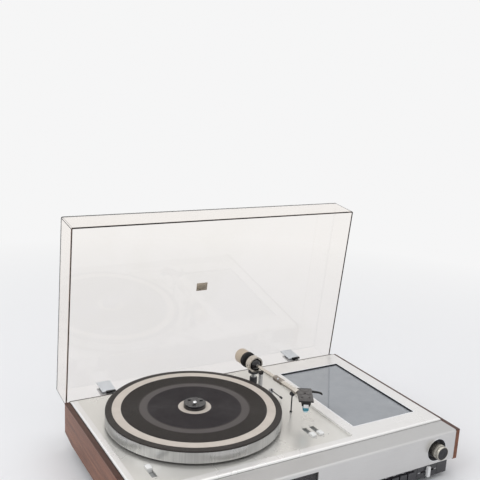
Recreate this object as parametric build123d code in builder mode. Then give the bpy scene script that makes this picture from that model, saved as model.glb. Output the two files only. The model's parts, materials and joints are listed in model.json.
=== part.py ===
"""Record player with a built-in tuner: aluminium deck, wooden cheeks and a tinted lid, shown open.

Millimetres. The origin is on the spindle axis, at the top of the platter mat where a record lies.
+X is to the player's right, +Y to its back and +Z up.
"""
import os
from math import acos, atan2, cos, degrees, hypot, radians, sin

from build123d import *

# Deck plate
deck_width = 570.6
deck_depth = 331.8
spindle_from_left = 170.9
spindle_from_rear = 150.6
record_above_deck = 21.0
field_recess = 4.0
field_thickness = 2.0
border_side = 10.5
border_front = 14.5
raised_rear_inset = 8.4
step_from_left = 385.2
deck_edge_radius = 3.6
field_corner_radius = 4.0

# Case, fascia and plinth
ledge_step = 4.0
ledge_depth = 39.0
ledge_gap = 0.7
fascia_height = 54.0
fascia_sheet = 2.0
fascia_bend_radius = 3.2
case_wall = 6.0
case_floor = 3.0
case_rear_inset = 10.0
plinth_height = 24.0
plinth_inset = 12.0
plinth_rear_inset = 4.0
pan_wall = 2.0
panel_thickness = 3.0
foot_radius = 14.0
foot_height = 9.0
foot_inset = 34.0
foot_chamfer = 1.5

# Wooden cheeks
cheek_thickness = 9.1
cheek_rear_inset = 1.9
cheek_end_height = 56.0
cheek_middle_height = 62.5
cheek_corner_run = 41.0
cheek_edge_radius = 0.8

# Dial window in the fascia
dial_left_from_left = 22.7
dial_width = 255.6
dial_height = 37.0
dial_below_ledge = 6.8
dial_lap = 3.0
dial_glass_thickness = 3.0
dial_scale_thickness = 1.5
pointer_width = 1.4
pointer_thickness = 1.2
pointer_behind_glass = 0.9
pointer_from_dial_left = 150.0

# Tuning knob and its bezel
knob_from_right = 41.9
knob_below_ledge = 29.2
bezel_radius = 21.5
bezel_mouth_radius = 19.6
bezel_floor_radius = 15.4
bezel_depth = 6.0
bezel_floor = 2.5
bezel_set_back = 0.3
knob_radius = 12.8
knob_proud = 15.0
knob_cap_radius = 11.2
knob_cap_recess = 0.8
knob_floor_gap = 0.6
tuning_shaft_radius = 3.0
tuning_shaft_length = 22.0
running_clearance = 0.05

# Slider and keys on the lower panel
slider_from_right = 57.3
slider_travel = 24.0
slider_bar_width = 6.0
slider_bar_height = 18.5
slider_bar_proud = 5.0
slider_stem_width = 5.0
slider_stem_height = 2.4
slider_foot_width = 10.0
slider_foot_height = 8.0
slider_foot_thickness = 2.0
moving_gap = 0.4
key_count = 4
key_pitch = 18.0
key_from_slider = 38.5
key_width = 15.2
key_height = 14.0
key_proud = 3.4
key_flange = 1.2
key_length = 13.0

# Right-hand window in the deck
window_from_right = 25.2
window_from_step = 19.4
window_depth = 240.6
window_from_rear = 51.6
window_trim = 2.0
window_trim_set_down = 0.5
window_glass_set_down = 3.4
window_tray_floor = 2.0
window_tray_flange = 6.0

# Platter and drive
platter_radius = 150.0
platter_rim = 6.0
platter_web = 4.0
platter_height = 17.9
mat_radius = 149.4
mat_thickness = 2.5
mat_ring_inner = 123.7
mat_ring_outer = 138.6
inlay_thickness = 1.0
centre_disc_radius = 28.0
spindle_radius = 3.6
spindle_above_record = 9.5
spindle_tip_chamfer = 1.4
shaft_radius = 4.0
sub_platter_radius = 70.0
sub_platter_thickness = 6.0
bearing_radius = 10.0
bearing_depth = 38.0
bearing_flange_radius = 16.0
bearing_flange = 3.0
bearing_gap = 1.5
pulley_radius = 7.0
pulley_height = 4.6
pulley_flange = 1.0
motor_distance = 108.0
motor_angle = 150.0
motor_radius = 26.0
motor_height = 32.0
motor_shaft_radius = 1.5
belt_thickness = 0.8
belt_height = 4.0
belt_above_sub_platter_bottom = 2.5
belt_clearance = 0.3
adaptor_radius = 19.0
adaptor_height = 8.0
adaptor_edge = 0.8
adaptor_pocket_radius = 3.0
adaptor_pocket_ring = 11.5
adaptor_pocket_depth = 1.5
adaptor_pockets = 3

# Tonearm
arm_pivot_x = 163.0
arm_pivot_y = 81.0
arm_above_record = 19.0
arm_rest_angle = 2.9
arm_base_radius = 7.2
arm_base_height = 18.0
arm_stem_radius = 5.0
arm_stem_height = 8.9
stem_pin_radius = 2.4
stem_pin_length = 1.8
collar_radius = 10.6
collar_height = 5.0
gimbal_outer_radius = 15.0
gimbal_inner_radius = 12.8
gimbal_depth = 13.0
ball_radius = 11.8
trunnion_radius = 1.4
tube_radius = 3.25
tube_bore_radius = 2.2
front_tube_radius = 4.5
tube_behind_pivot = 49.0
tube_step = 83.0
tube_length = 141.0
sleeve_start = 70.0
sleeve_length = 25.0
sleeve_radius = 5.4
sleeve_screw_radius = 2.0
sleeve_screw_reach = 7.6
weight_start = 27.0
weight_length = 22.0
weight_radius = 14.3
dial_ring_start = 17.5
dial_ring_length = 9.0
dial_ring_radius = 15.2
weight_fit = 0.08

# Headshell and cartridge
headshell_offset_angle = 32.4
headshell_rear_along = 136.0
headshell_rear_side = 17.0
headshell_length = 51.5
headshell_width = 26.0
headshell_thickness = 2.5
headshell_skirt = 2.5
headshell_above_axis = 3.0
headshell_hole_radius = 2.4
headshell_hole_from_rear = 20.7
headshell_collar_radius = 5.6
headshell_collar_length = 11.0
finger_lift_thickness = 3.0
finger_lift_width = 3.4
cartridge_mount_width = 17.0
cartridge_mount_length = 22.0
cartridge_mount_height = 4.2
cartridge_width = 11.0
cartridge_length = 19.0
cartridge_height = 7.6
stylus_width = 10.4
stylus_length = 10.0
stylus_above_record = 1.5

# Arm rest, cue lift and its lever
rest_along = 125.0
rest_post_radius = 1.2
rest_foot_radius = 2.4
rest_foot_height = 1.6
rest_loop_radius = 4.0
rest_loop_hole = 1.9
rest_loop_depth = 5.0
rest_gap = 0.4
lift_x = 160.6
lift_y = 51.0
lift_radius = 4.1
lift_cap_radius = 4.7
lift_cap_height = 4.0
lift_gap = 0.5
lift_below_deck = 18.0
lever_x = 177.0
lever_y = 38.0
lever_above_field = 6.0
lever_rod_radius = 0.9
lever_length = 38.0
lever_tip_radius = 2.0
lever_tip_length = 5.0
lever_boss_radius = 2.2
lever_boss_width = 3.0
lever_pin_radius = 1.0
lever_ear = 1.4
lever_ear_gap = 0.3

# Slide switches in the deck field
slot_width = 9.0
slot_length = 34.0
slot_y = -120.5
left_slot_x = -128.6
right_slot_x = (156.4, 172.0)
channel_wall = 1.5
channel_depth = 4.6
tab_gap = 0.35
tab_length = 12.5
tab_above_field = 3.6
tab_end_gap = 0.6

# Lid
lid_height = 59.5
lid_wall = 2.5
lid_side_gap = 1.1
lid_front_gap = 0.5
lid_rear_gap = 0.5
lid_lift = 3.0
lid_corner_radius = 3.0
lid_open_angle = 83.5

# Lid hinges
hinge_inside_rear = 2.6
hinge_below_deck = 15.8
hinge_spacing = 412.0
hinge_pin_radius = 2.5
hinge_barrel_radius = 5.0
hinge_barrel_width = 18.0
clip_width = 26.0
clip_height = 40.0
clip_thickness = 2.0
clip_waist_gap = 2.5
clip_lug_height = 7.0
ear_thickness = 3.0
ear_gap = 0.35
ear_reach = 6.0
bracket_plate = 2.0
bracket_height = 30.0
bracket_width = 40.0

# Rear panel and what it carries
rear_panel_gap = 16.0
rear_panel_height = 40.0
rear_panel_thickness = 2.0
rear_panel_lap = 8.0
phono_radius = 4.15
phono_hole_radius = 1.7
phono_length = 9.0
phono_flange_radius = 6.0
phono_flange = 1.5
phono_pitch = 20.0
phono_offset = -90.0
gland_offset = 130.0
gland_radius = 6.0
gland_bore_radius = 3.5
gland_flange_radius = 9.0
gland_flange = 3.0
gland_inside = 7.0
screw_head_radius = 3.2
screw_head_height = 1.8
screw_shank_radius = 1.5
screw_shank_length = 6.0

# Power supply and amplifier inside
transformer_size = (66.0, 56.0, 48.0)
transformer_from_right = 99.7
transformer_from_rear = 90.6
coil_width = 40.0
coil_bulge = 9.0
board_size = (210.0, 110.0)
board_thickness = 1.6
board_from_right = 219.7
board_from_front = 51.2
standoff_height = 5.0
standoff_radius = 3.0

# Places worked out from the sizes above
deck_left = -spindle_from_left
deck_right = deck_left + deck_width
deck_rear = spindle_from_rear
deck_front = deck_rear - deck_depth
deck_centre_x = (deck_left + deck_right) / 2
deck_top = -record_above_deck
field_top = deck_top - field_recess
deck_bottom = field_top - field_thickness
step_x = deck_left + step_from_left
raised_rear = deck_rear - raised_rear_inset
field_left = deck_left + border_side
field_front = deck_front + border_front
field_rear = deck_rear + field_corner_radius
ledge_top = deck_top - ledge_step
fascia_front = deck_front - ledge_depth
fascia_bottom = ledge_top - fascia_height
case_front = fascia_front + fascia_sheet
case_rear = deck_rear - case_rear_inset
case_depth = case_rear - case_front
case_centre_y = (case_rear + case_front) / 2
case_height = deck_bottom - fascia_bottom
rear_mid_z = (fascia_bottom + deck_bottom) / 2
plinth_left = deck_left + plinth_inset
plinth_right = deck_right - plinth_inset
plinth_width = plinth_right - plinth_left
plinth_bottom = fascia_bottom - plinth_height
plinth_rear = case_rear - plinth_rear_inset
pan_front = case_front + panel_thickness
pan_depth = plinth_rear - pan_front
pan_centre_y = (plinth_rear + pan_front) / 2
floor_level = plinth_bottom - foot_height

dial_left = deck_left + dial_left_from_left
dial_centre_x = dial_left + dial_width / 2
dial_centre_z = ledge_top - dial_below_ledge - dial_height / 2
scale_front = case_front + case_wall
knob_x = deck_right - knob_from_right
knob_z = ledge_top - knob_below_ledge
slider_x = deck_right - slider_from_right
panel_z = fascia_bottom - plinth_height / 2
slider_slot_width = slider_travel + slider_stem_width + 4 * moving_gap
slider_slot_height = slider_stem_height + 2 * moving_gap
key_x = [slider_x - key_from_slider - key_pitch * i for i in range(key_count)]

window_right = deck_right - window_from_right
window_width = window_right - step_x - window_from_step
window_centre = (window_right - window_width / 2, deck_rear - window_from_rear - window_depth / 2)

platter_top = -mat_thickness
platter_bottom = platter_top - platter_height
sub_platter_top = platter_top - platter_web
sub_platter_bottom = sub_platter_top - sub_platter_thickness
bearing_top = sub_platter_bottom - bearing_gap
bearing_bottom = deck_bottom - bearing_depth
motor_x = motor_distance * cos(radians(motor_angle))
motor_y = motor_distance * sin(radians(motor_angle))
belt_centre_z = sub_platter_bottom + belt_above_sub_platter_bottom
pulley_bottom = belt_centre_z - pulley_height / 2

arm_dir = (sin(radians(arm_rest_angle)), -cos(radians(arm_rest_angle)), 0.0)
arm_side = (cos(radians(arm_rest_angle)), sin(radians(arm_rest_angle)), 0.0)
arm_pivot = (arm_pivot_x, arm_pivot_y, arm_above_record)
stem_bottom = field_top + arm_base_height
stem_top = stem_bottom + arm_stem_height
collar_bottom = stem_top + 2 * running_clearance

head_angle = headshell_offset_angle - arm_rest_angle
head_dir = (-sin(radians(head_angle)), -cos(radians(head_angle)), 0.0)
head_top = arm_above_record + headshell_above_axis
plate_bottom = head_top - headshell_thickness
mount_bottom = plate_bottom - cartridge_mount_height
cartridge_bottom = mount_bottom - cartridge_height

channel_floor = deck_bottom - channel_depth
tab_travel = slot_length - tab_length - 2 * tab_end_gap

hinge_y = deck_rear - hinge_inside_rear
hinge_z = deck_top - hinge_below_deck
hinge_x = [deck_centre_x - hinge_spacing / 2, deck_centre_x + hinge_spacing / 2]
rear_panel_width = hinge_spacing - bracket_width - 2 * rear_panel_gap
lid_width = deck_width + 2 * (lid_side_gap + lid_wall)
lid_front = deck_front - lid_front_gap - lid_wall
lid_rear = deck_rear + lid_rear_gap + lid_wall
lid_depth = lid_rear - lid_front
lid_rim_z = ledge_top + lid_lift
open_turn = radians(lid_open_angle)


def arm_point(along, side=0.0, up=0.0):
    """A point given along the arm from its pivot, to its right and above its axis."""
    return (
        arm_pivot_x + along * arm_dir[0] + side * arm_side[0],
        arm_pivot_y + along * arm_dir[1] + side * arm_side[1],
        arm_above_record + up,
    )


def arm_section(along):
    """The plane across the arm at a distance in front of its pivot."""
    return Plane(origin=arm_point(along), x_dir=(0, 0, 1), z_dir=arm_dir)


def write(piece, name):
    """Label a finished piece and write its STEP file."""
    piece.part.label = name
    export_step(piece.part, f"parts/{name}.step")


os.makedirs("parts", exist_ok=True)

head_rear = arm_point(headshell_rear_along, headshell_rear_side)
head_plane = Plane(origin=(head_rear[0], head_rear[1], head_top), x_dir=head_dir, z_dir=(0, 0, 1))
lid_origin = Plane(
    origin=(deck_centre_x, hinge_y, hinge_z),
    x_dir=(1, 0, 0),
    z_dir=(0, sin(open_turn), cos(open_turn)),
)


def lid_plane(up):
    """A plane parallel to the lid's rim, at a height that is measured with the lid closed."""
    return lid_origin.offset(up - hinge_z)


# Case
with BuildPart() as case_frame:
    with BuildSketch(Plane.XY.offset(fascia_bottom)):
        with Locations((deck_centre_x, case_centre_y)):
            Rectangle(deck_width, case_depth)
    extrude(amount=case_height)
    with BuildSketch(Plane.XY.offset(fascia_bottom + case_floor)):
        with Locations((deck_centre_x, case_centre_y)):
            Rectangle(deck_width - 2 * case_wall, case_depth - 2 * case_wall)
    extrude(amount=case_height, mode=Mode.SUBTRACT)
    with BuildSketch(Plane.XY.offset(fascia_bottom)):
        with Locations((deck_centre_x, pan_centre_y)):
            Rectangle(plinth_width - 4 * pan_wall, pan_depth - 4 * pan_wall)
    extrude(amount=case_floor, mode=Mode.SUBTRACT)
    with BuildSketch(Plane.XZ.offset(-case_front)):
        with Locations((dial_centre_x, dial_centre_z)):
            Rectangle(dial_width + 2 * dial_lap, dial_height + 2 * dial_lap)
        with Locations((knob_x, knob_z)):
            Circle(bezel_radius)
    extrude(amount=-case_wall, mode=Mode.SUBTRACT)
    with BuildSketch(Plane.XZ.offset(-case_rear)):
        with Locations((deck_centre_x, rear_mid_z)):
            Rectangle(rear_panel_width - 2 * rear_panel_lap, rear_panel_height - 2 * rear_panel_lap)
    extrude(amount=case_wall, mode=Mode.SUBTRACT)
    rear_screw_points = [
        (deck_centre_x + sx * (rear_panel_width - rear_panel_lap) / 2, rear_mid_z + sz)
        for sx in (-1, 0, 1)
        for sz in ((rear_panel_lap - rear_panel_height) / 2, (rear_panel_height - rear_panel_lap) / 2)
    ]
    with BuildSketch(Plane.XZ.offset(-case_rear)):
        with Locations(*rear_screw_points):
            Circle(screw_shank_radius)
    extrude(amount=screw_shank_length - rear_panel_thickness, mode=Mode.SUBTRACT)
write(case_frame, "case_frame")

with BuildPart() as base_pan:
    with BuildSketch(Plane.XY.offset(plinth_bottom)):
        with Locations((deck_centre_x, pan_centre_y)):
            Rectangle(plinth_width, pan_depth)
    extrude(amount=plinth_height)
    with BuildSketch(Plane.XY.offset(plinth_bottom + pan_wall)):
        with Locations((deck_centre_x, pan_centre_y)):
            Rectangle(plinth_width - 2 * pan_wall, pan_depth - 2 * pan_wall)
    extrude(amount=plinth_height, mode=Mode.SUBTRACT)
    with BuildSketch(Plane.XZ.offset(-pan_front)):
        with Locations((slider_x, panel_z)):
            Rectangle(slider_slot_width, slider_slot_height)
        with Locations(*[(x, panel_z) for x in key_x]):
            Rectangle(key_width + 2 * moving_gap, key_height + 2 * moving_gap)
    extrude(amount=-pan_wall, mode=Mode.SUBTRACT)
write(base_pan, "base_pan")

with BuildPart() as feet:
    with BuildSketch(Plane.XY.offset(floor_level)):
        with Locations((deck_centre_x, pan_centre_y)):
            with GridLocations(plinth_width - 2 * foot_inset, pan_depth - 2 * foot_inset, 2, 2):
                Circle(foot_radius)
    extrude(amount=foot_height)
    chamfer(feet.edges().group_by(Axis.Z)[0], foot_chamfer)
write(feet, "feet")


cheek_rear = deck_rear - cheek_rear_inset
cheek_profile = [
    (fascia_front, ledge_top),
    (fascia_front, ledge_top - cheek_end_height),
    (fascia_front + cheek_corner_run, ledge_top - cheek_middle_height),
    (cheek_rear - cheek_corner_run, ledge_top - cheek_middle_height),
    (cheek_rear, ledge_top - cheek_end_height),
    (cheek_rear, ledge_top),
]
with BuildPart() as left_cheek:
    with BuildSketch(Plane.YZ.offset(deck_left - cheek_thickness)):
        Polygon(*cheek_profile, align=None)
    extrude(amount=cheek_thickness)
    fillet(left_cheek.faces().sort_by(Axis.X)[0].edges(), cheek_edge_radius)
write(left_cheek, "left_cheek")

with BuildPart() as right_cheek:
    with BuildSketch(Plane.YZ.offset(deck_right)):
        Polygon(*cheek_profile, align=None)
    extrude(amount=cheek_thickness)
    fillet(right_cheek.faces().sort_by(Axis.X)[-1].edges(), cheek_edge_radius)
write(right_cheek, "right_cheek")

with BuildPart() as fascia:
    with BuildSketch(Plane.YZ.offset(deck_left)):
        with BuildLine():
            Polyline(
                (deck_front - ledge_gap, ledge_top),
                (fascia_front + fascia_bend_radius, ledge_top),
            )
            RadiusArc(
                (fascia_front + fascia_bend_radius, ledge_top),
                (fascia_front, ledge_top - fascia_bend_radius),
                -fascia_bend_radius,
            )
            Polyline(
                (fascia_front, ledge_top - fascia_bend_radius),
                (fascia_front, fascia_bottom),
                (case_front, fascia_bottom),
                (case_front, deck_bottom),
                (deck_front - ledge_gap, deck_bottom),
                (deck_front - ledge_gap, ledge_top),
            )
        make_face()
    extrude(amount=deck_width)
    with BuildSketch(Plane.XZ.offset(-fascia_front)):
        with Locations((dial_centre_x, dial_centre_z)):
            Rectangle(dial_width, dial_height)
        with Locations((knob_x, knob_z)):
            Circle(bezel_radius)
    extrude(amount=-fascia_sheet, mode=Mode.SUBTRACT)
write(fascia, "fascia")

with BuildPart() as dial_glass:
    with BuildSketch(Plane.XZ.offset(-case_front)):
        with Locations((dial_centre_x, dial_centre_z)):
            Rectangle(dial_width + 2 * dial_lap, dial_height + 2 * dial_lap)
    extrude(amount=-dial_glass_thickness)
write(dial_glass, "dial_glass")

with BuildPart() as dial_scale:
    with BuildSketch(Plane.XZ.offset(-scale_front)):
        with Locations((dial_centre_x, dial_centre_z)):
            Rectangle(dial_width + 4 * dial_lap, dial_height + 2 * dial_lap)
    extrude(amount=-dial_scale_thickness)
write(dial_scale, "dial_scale")

pointer_front = case_front + dial_glass_thickness + pointer_behind_glass
with BuildPart() as dial_pointer:
    with BuildSketch(Plane.XZ.offset(-pointer_front)):
        with Locations((dial_left + pointer_from_dial_left, dial_centre_z)):
            Rectangle(pointer_width, dial_height + dial_lap)
        with Locations((dial_left + pointer_from_dial_left, dial_centre_z + dial_height / 2)):
            Rectangle(4 * pointer_width, dial_lap)
    extrude(amount=-pointer_thickness)
write(dial_pointer, "dial_pointer")

with BuildPart() as knob_bezel:
    with BuildSketch(Plane.XZ.offset(-(fascia_front + bezel_set_back))):
        with Locations((knob_x, knob_z)):
            Circle(bezel_radius)
    extrude(amount=-(bezel_depth + bezel_floor))
    with BuildSketch(Plane.XZ.offset(-(fascia_front + bezel_set_back))):
        with Locations((knob_x, knob_z)):
            Circle(bezel_mouth_radius)
    with BuildSketch(Plane.XZ.offset(-(fascia_front + bezel_set_back + bezel_depth))):
        with Locations((knob_x, knob_z)):
            Circle(bezel_floor_radius)
    loft(mode=Mode.SUBTRACT)
    with BuildSketch(Plane.XZ.offset(-(fascia_front + bezel_set_back))):
        with Locations((knob_x, knob_z)):
            Circle(tuning_shaft_radius + running_clearance)
    extrude(amount=-(bezel_depth + bezel_floor), mode=Mode.SUBTRACT)
write(knob_bezel, "knob_bezel")

knob_front = fascia_front - knob_proud
knob_back = fascia_front + bezel_set_back + bezel_depth - knob_floor_gap
with BuildPart() as tuning_knob:
    with BuildSketch(Plane.XZ.offset(-knob_back)):
        with Locations((knob_x, knob_z)):
            Circle(knob_radius)
    extrude(amount=knob_back - knob_front)
    chamfer(tuning_knob.edges().group_by(Axis.Y)[0], knob_cap_recess)
    with BuildSketch(Plane.XZ.offset(-knob_front)):
        with Locations((knob_x, knob_z)):
            Circle(knob_cap_radius)
    extrude(amount=-knob_cap_recess, mode=Mode.SUBTRACT)
    with BuildSketch(Plane.XZ.offset(-knob_back)):
        with Locations((knob_x, knob_z)):
            Circle(tuning_shaft_radius)
    extrude(amount=-tuning_shaft_length)
write(tuning_knob, "tuning_knob")

# Lower panel, slider and keys
with BuildPart() as control_panel:
    with BuildSketch(Plane.XZ.offset(-case_front)):
        with Locations((deck_centre_x, panel_z)):
            Rectangle(plinth_width, plinth_height)
        with Locations((slider_x, panel_z)):
            Rectangle(slider_slot_width, slider_slot_height, mode=Mode.SUBTRACT)
        with Locations(*[(x, panel_z) for x in key_x]):
            Rectangle(key_width + 2 * moving_gap, key_height + 2 * moving_gap, mode=Mode.SUBTRACT)
    extrude(amount=-panel_thickness)
write(control_panel, "control_panel")

slider_foot_y = pan_front + pan_wall + moving_gap
with BuildPart() as panel_slider:
    with BuildSketch(Plane.XZ.offset(-(case_front - moving_gap))):
        with Locations((slider_x, panel_z)):
            Rectangle(slider_bar_width, slider_bar_height)
    extrude(amount=slider_bar_proud)
    with BuildSketch(Plane.XZ.offset(-(case_front - moving_gap))):
        with Locations((slider_x, panel_z)):
            Rectangle(slider_stem_width, slider_stem_height)
    extrude(amount=-(slider_foot_y - case_front + moving_gap))
    with BuildSketch(Plane.XZ.offset(-slider_foot_y)):
        with Locations((slider_x, panel_z)):
            Rectangle(slider_foot_width, slider_foot_height)
    extrude(amount=-slider_foot_thickness)
write(panel_slider, "panel_slider")

key_flange_y = pan_front + pan_wall + moving_gap
for number, x in enumerate(key_x, start=1):
    with BuildPart() as key:
        with BuildSketch(Plane.XZ.offset(-(case_front - key_proud))):
            with Locations((x, panel_z)):
                RectangleRounded(key_width, key_height, key_flange)
        extrude(amount=-key_length)
        with BuildSketch(Plane.XZ.offset(-key_flange_y)):
            with Locations((x, panel_z)):
                Rectangle(key_width + key_flange, key_height + 2 * key_flange)
        extrude(amount=-key_flange)
    write(key, f"key_{number}")

# Rear panel
phono_points = [
    (deck_centre_x + phono_offset + phono_pitch * i, rear_mid_z) for i in range(4)
]
gland_point = (deck_centre_x + gland_offset, rear_mid_z)
rear_face = case_rear + rear_panel_thickness
with BuildPart() as rear_panel:
    with BuildSketch(Plane.XZ.offset(-rear_face)):
        with Locations((deck_centre_x, rear_mid_z)):
            Rectangle(rear_panel_width, rear_panel_height)
        with Locations(*phono_points):
            Circle(phono_radius, mode=Mode.SUBTRACT)
        with Locations(gland_point):
            Circle(gland_radius, mode=Mode.SUBTRACT)
        with Locations(*rear_screw_points):
            Circle(screw_shank_radius, mode=Mode.SUBTRACT)
    extrude(amount=rear_panel_thickness)
write(rear_panel, "rear_panel")

with BuildPart() as phono_sockets:
    with BuildSketch(Plane.XZ.offset(-(rear_face + phono_flange + phono_length))):
        with Locations(*phono_points):
            Circle(phono_radius)
    extrude(amount=phono_length + phono_flange + rear_panel_thickness)
    with BuildSketch(Plane.XZ.offset(-(rear_face + phono_flange))):
        with Locations(*phono_points):
            Circle(phono_flange_radius)
    extrude(amount=phono_flange)
    with BuildSketch(Plane.XZ.offset(-(rear_face + phono_flange + phono_length))):
        with Locations(*phono_points):
            Circle(phono_hole_radius)
    extrude(amount=phono_length, mode=Mode.SUBTRACT)
write(phono_sockets, "phono_sockets")

with BuildPart() as cord_gland:
    with BuildSketch(Plane.XZ.offset(-(rear_face + gland_flange))):
        with Locations(gland_point):
            Circle(gland_flange_radius)
    extrude(amount=gland_flange)
    with BuildSketch(Plane.XZ.offset(-rear_face)):
        with Locations(gland_point):
            Circle(gland_radius)
    extrude(amount=rear_panel_thickness + gland_inside)
    with BuildSketch(Plane.XZ.offset(-(rear_face + gland_flange))):
        with Locations(gland_point):
            Circle(gland_bore_radius)
    extrude(amount=gland_flange + rear_panel_thickness + gland_inside, mode=Mode.SUBTRACT)
write(cord_gland, "cord_gland")

with BuildPart() as rear_screws:
    with BuildSketch(Plane.XZ.offset(-(rear_face + screw_head_height))):
        with Locations(*rear_screw_points):
            Circle(screw_head_radius)
    extrude(amount=screw_head_height)
    with BuildSketch(Plane.XZ.offset(-rear_face)):
        with Locations(*rear_screw_points):
            Circle(screw_shank_radius)
    extrude(amount=screw_shank_length)
write(rear_screws, "rear_screws")

# Electrics on the floor of the pan
pan_floor = plinth_bottom + pan_wall
transformer_x = deck_right - transformer_from_right
transformer_y = deck_rear - transformer_from_rear
board_x = deck_right - board_from_right
board_y = deck_front + board_from_front
with BuildPart() as transformer:
    with BuildSketch(Plane.XY.offset(pan_floor)):
        with Locations((transformer_x, transformer_y)):
            Rectangle(transformer_size[0], transformer_size[1])
    extrude(amount=transformer_size[2])
    with BuildSketch(Plane.XY.offset(pan_floor + coil_bulge)):
        with Locations((transformer_x, transformer_y)):
            RectangleRounded(coil_width, transformer_size[1] + 2 * coil_bulge, coil_bulge)
    extrude(amount=transformer_size[2] - 2 * coil_bulge)
write(transformer, "transformer")

with BuildPart() as circuit_board:
    with BuildSketch(Plane.XY.offset(pan_floor + standoff_height)):
        with Locations((board_x, board_y)):
            Rectangle(*board_size)
    extrude(amount=board_thickness)
    with BuildSketch(Plane.XY.offset(pan_floor)):
        with Locations((board_x, board_y)):
            with GridLocations(board_size[0] * 0.9, board_size[1] * 0.8, 2, 2):
                Circle(standoff_radius)
    extrude(amount=standoff_height)
write(circuit_board, "circuit_board")

# Deck plate
arm_rest_at = arm_point(rest_along)
slot_x = [left_slot_x, *right_slot_x]
with BuildPart() as deck_plate:
    with BuildSketch(Plane.XY.offset(field_top)):
        with Locations((deck_centre_x, (deck_front + raised_rear) / 2)):
            Rectangle(deck_width, raised_rear - deck_front)
    extrude(amount=field_recess)
    fillet(deck_plate.edges().group_by(Axis.Z)[-1], deck_edge_radius)
    with BuildSketch(Plane.XY.offset(field_top)):
        with Locations(((field_left + step_x) / 2, (field_front + field_rear) / 2)):
            RectangleRounded(step_x - field_left, field_rear - field_front, field_corner_radius)
    extrude(amount=field_recess, mode=Mode.SUBTRACT)
    with BuildSketch(Plane.XY.offset(deck_bottom)):
        with Locations((deck_centre_x, (deck_front + deck_rear) / 2)):
            Rectangle(deck_width, deck_depth)
    extrude(amount=field_thickness)
    with BuildSketch(Plane.XY.offset(deck_bottom)):
        Circle(bearing_radius + moving_gap)
        with Locations((motor_x, motor_y)):
            Circle(pulley_radius + pulley_flange + moving_gap)
        with Locations((lift_x, lift_y)):
            Circle(lift_radius + running_clearance)
        with Locations(*[(x, slot_y) for x in slot_x]):
            Rectangle(slot_width, slot_length)
        with Locations(window_centre):
            Rectangle(window_width, window_depth)
    extrude(amount=deck_top - deck_bottom, mode=Mode.SUBTRACT)
write(deck_plate, "deck_plate")

with BuildPart() as window_tray:
    with BuildSketch(Plane.XY.offset(deck_bottom - window_tray_floor)):
        with Locations(window_centre):
            Rectangle(window_width + 2 * window_tray_flange, window_depth + 2 * window_tray_flange)
    extrude(amount=window_tray_floor)
    with BuildSketch(Plane.XY.offset(deck_bottom)):
        with Locations(window_centre):
            Rectangle(window_width, window_depth)
            Rectangle(window_width - 2 * window_trim, window_depth - 2 * window_trim, mode=Mode.SUBTRACT)
    extrude(amount=deck_top - window_trim_set_down - deck_bottom)
write(window_tray, "window_tray")

with BuildPart() as window_glass:
    with BuildSketch(Plane.XY.offset(deck_bottom)):
        with Locations(window_centre):
            Rectangle(window_width - 2 * window_trim, window_depth - 2 * window_trim)
    extrude(amount=deck_top - window_glass_set_down - deck_bottom)
write(window_glass, "window_glass")

with BuildPart() as switch_channels:
    with BuildSketch(Plane.XY.offset(channel_floor)):
        with Locations(*[(x, slot_y) for x in slot_x]):
            Rectangle(slot_width + 2 * channel_wall, slot_length + 2 * channel_wall)
    extrude(amount=channel_depth)
    with BuildSketch(Plane.XY.offset(channel_floor + channel_wall)):
        with Locations(*[(x, slot_y) for x in slot_x]):
            Rectangle(slot_width, slot_length)
    extrude(amount=channel_depth, mode=Mode.SUBTRACT)
write(switch_channels, "switch_channels")


def switch_tab(x, end):
    """A tab that stands out of its slot, at the front end (-1) or the rear end (+1)."""
    y = slot_y + end * tab_travel / 2
    width = slot_width - 2 * tab_gap
    bottom = channel_floor + channel_wall + tab_gap
    with BuildPart() as tab:
        with BuildSketch(Plane.XY.offset(bottom)):
            with Locations((x, y)):
                Rectangle(width, tab_length)
        extrude(amount=field_top + tab_above_field - bottom)
        fillet(tab.faces().sort_by(Axis.Z)[-1].edges().filter_by(Axis.X), tab_above_field / 2)
    return tab


write(switch_tab(left_slot_x, 1), "speed_switch")
write(switch_tab(right_slot_x[0], -1), "start_switch")
write(switch_tab(right_slot_x[1], -1), "lift_switch")

# Platter bearing, drive and platter
with BuildPart() as bearing_housing:
    with BuildSketch(Plane.XY.offset(bearing_bottom)):
        Circle(bearing_radius)
    extrude(amount=bearing_top - bearing_bottom)
    with BuildSketch(Plane.XY.offset(field_top)):
        Circle(bearing_flange_radius)
    extrude(amount=bearing_flange)
    with BuildSketch(Plane.XY.offset(bearing_bottom + pan_wall)):
        Circle(shaft_radius + running_clearance)
    extrude(amount=bearing_top - bearing_bottom, mode=Mode.SUBTRACT)
write(bearing_housing, "bearing_housing")

shaft_bottom = bearing_bottom + pan_wall + moving_gap
with BuildPart() as spindle:
    with BuildSketch(Plane.XY.offset(shaft_bottom)):
        Circle(shaft_radius)
    extrude(amount=sub_platter_top - shaft_bottom)
    with BuildSketch(Plane.XY.offset(sub_platter_top)):
        Circle(spindle_radius)
    extrude(amount=spindle_above_record - sub_platter_top)
    chamfer(spindle.edges().group_by(Axis.Z)[-1], spindle_tip_chamfer)
write(spindle, "spindle")

with BuildPart() as sub_platter:
    with BuildSketch(Plane.XY.offset(sub_platter_bottom)):
        Circle(sub_platter_radius)
        Circle(shaft_radius, mode=Mode.SUBTRACT)
    extrude(amount=sub_platter_thickness)
write(sub_platter, "sub_platter")

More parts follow.
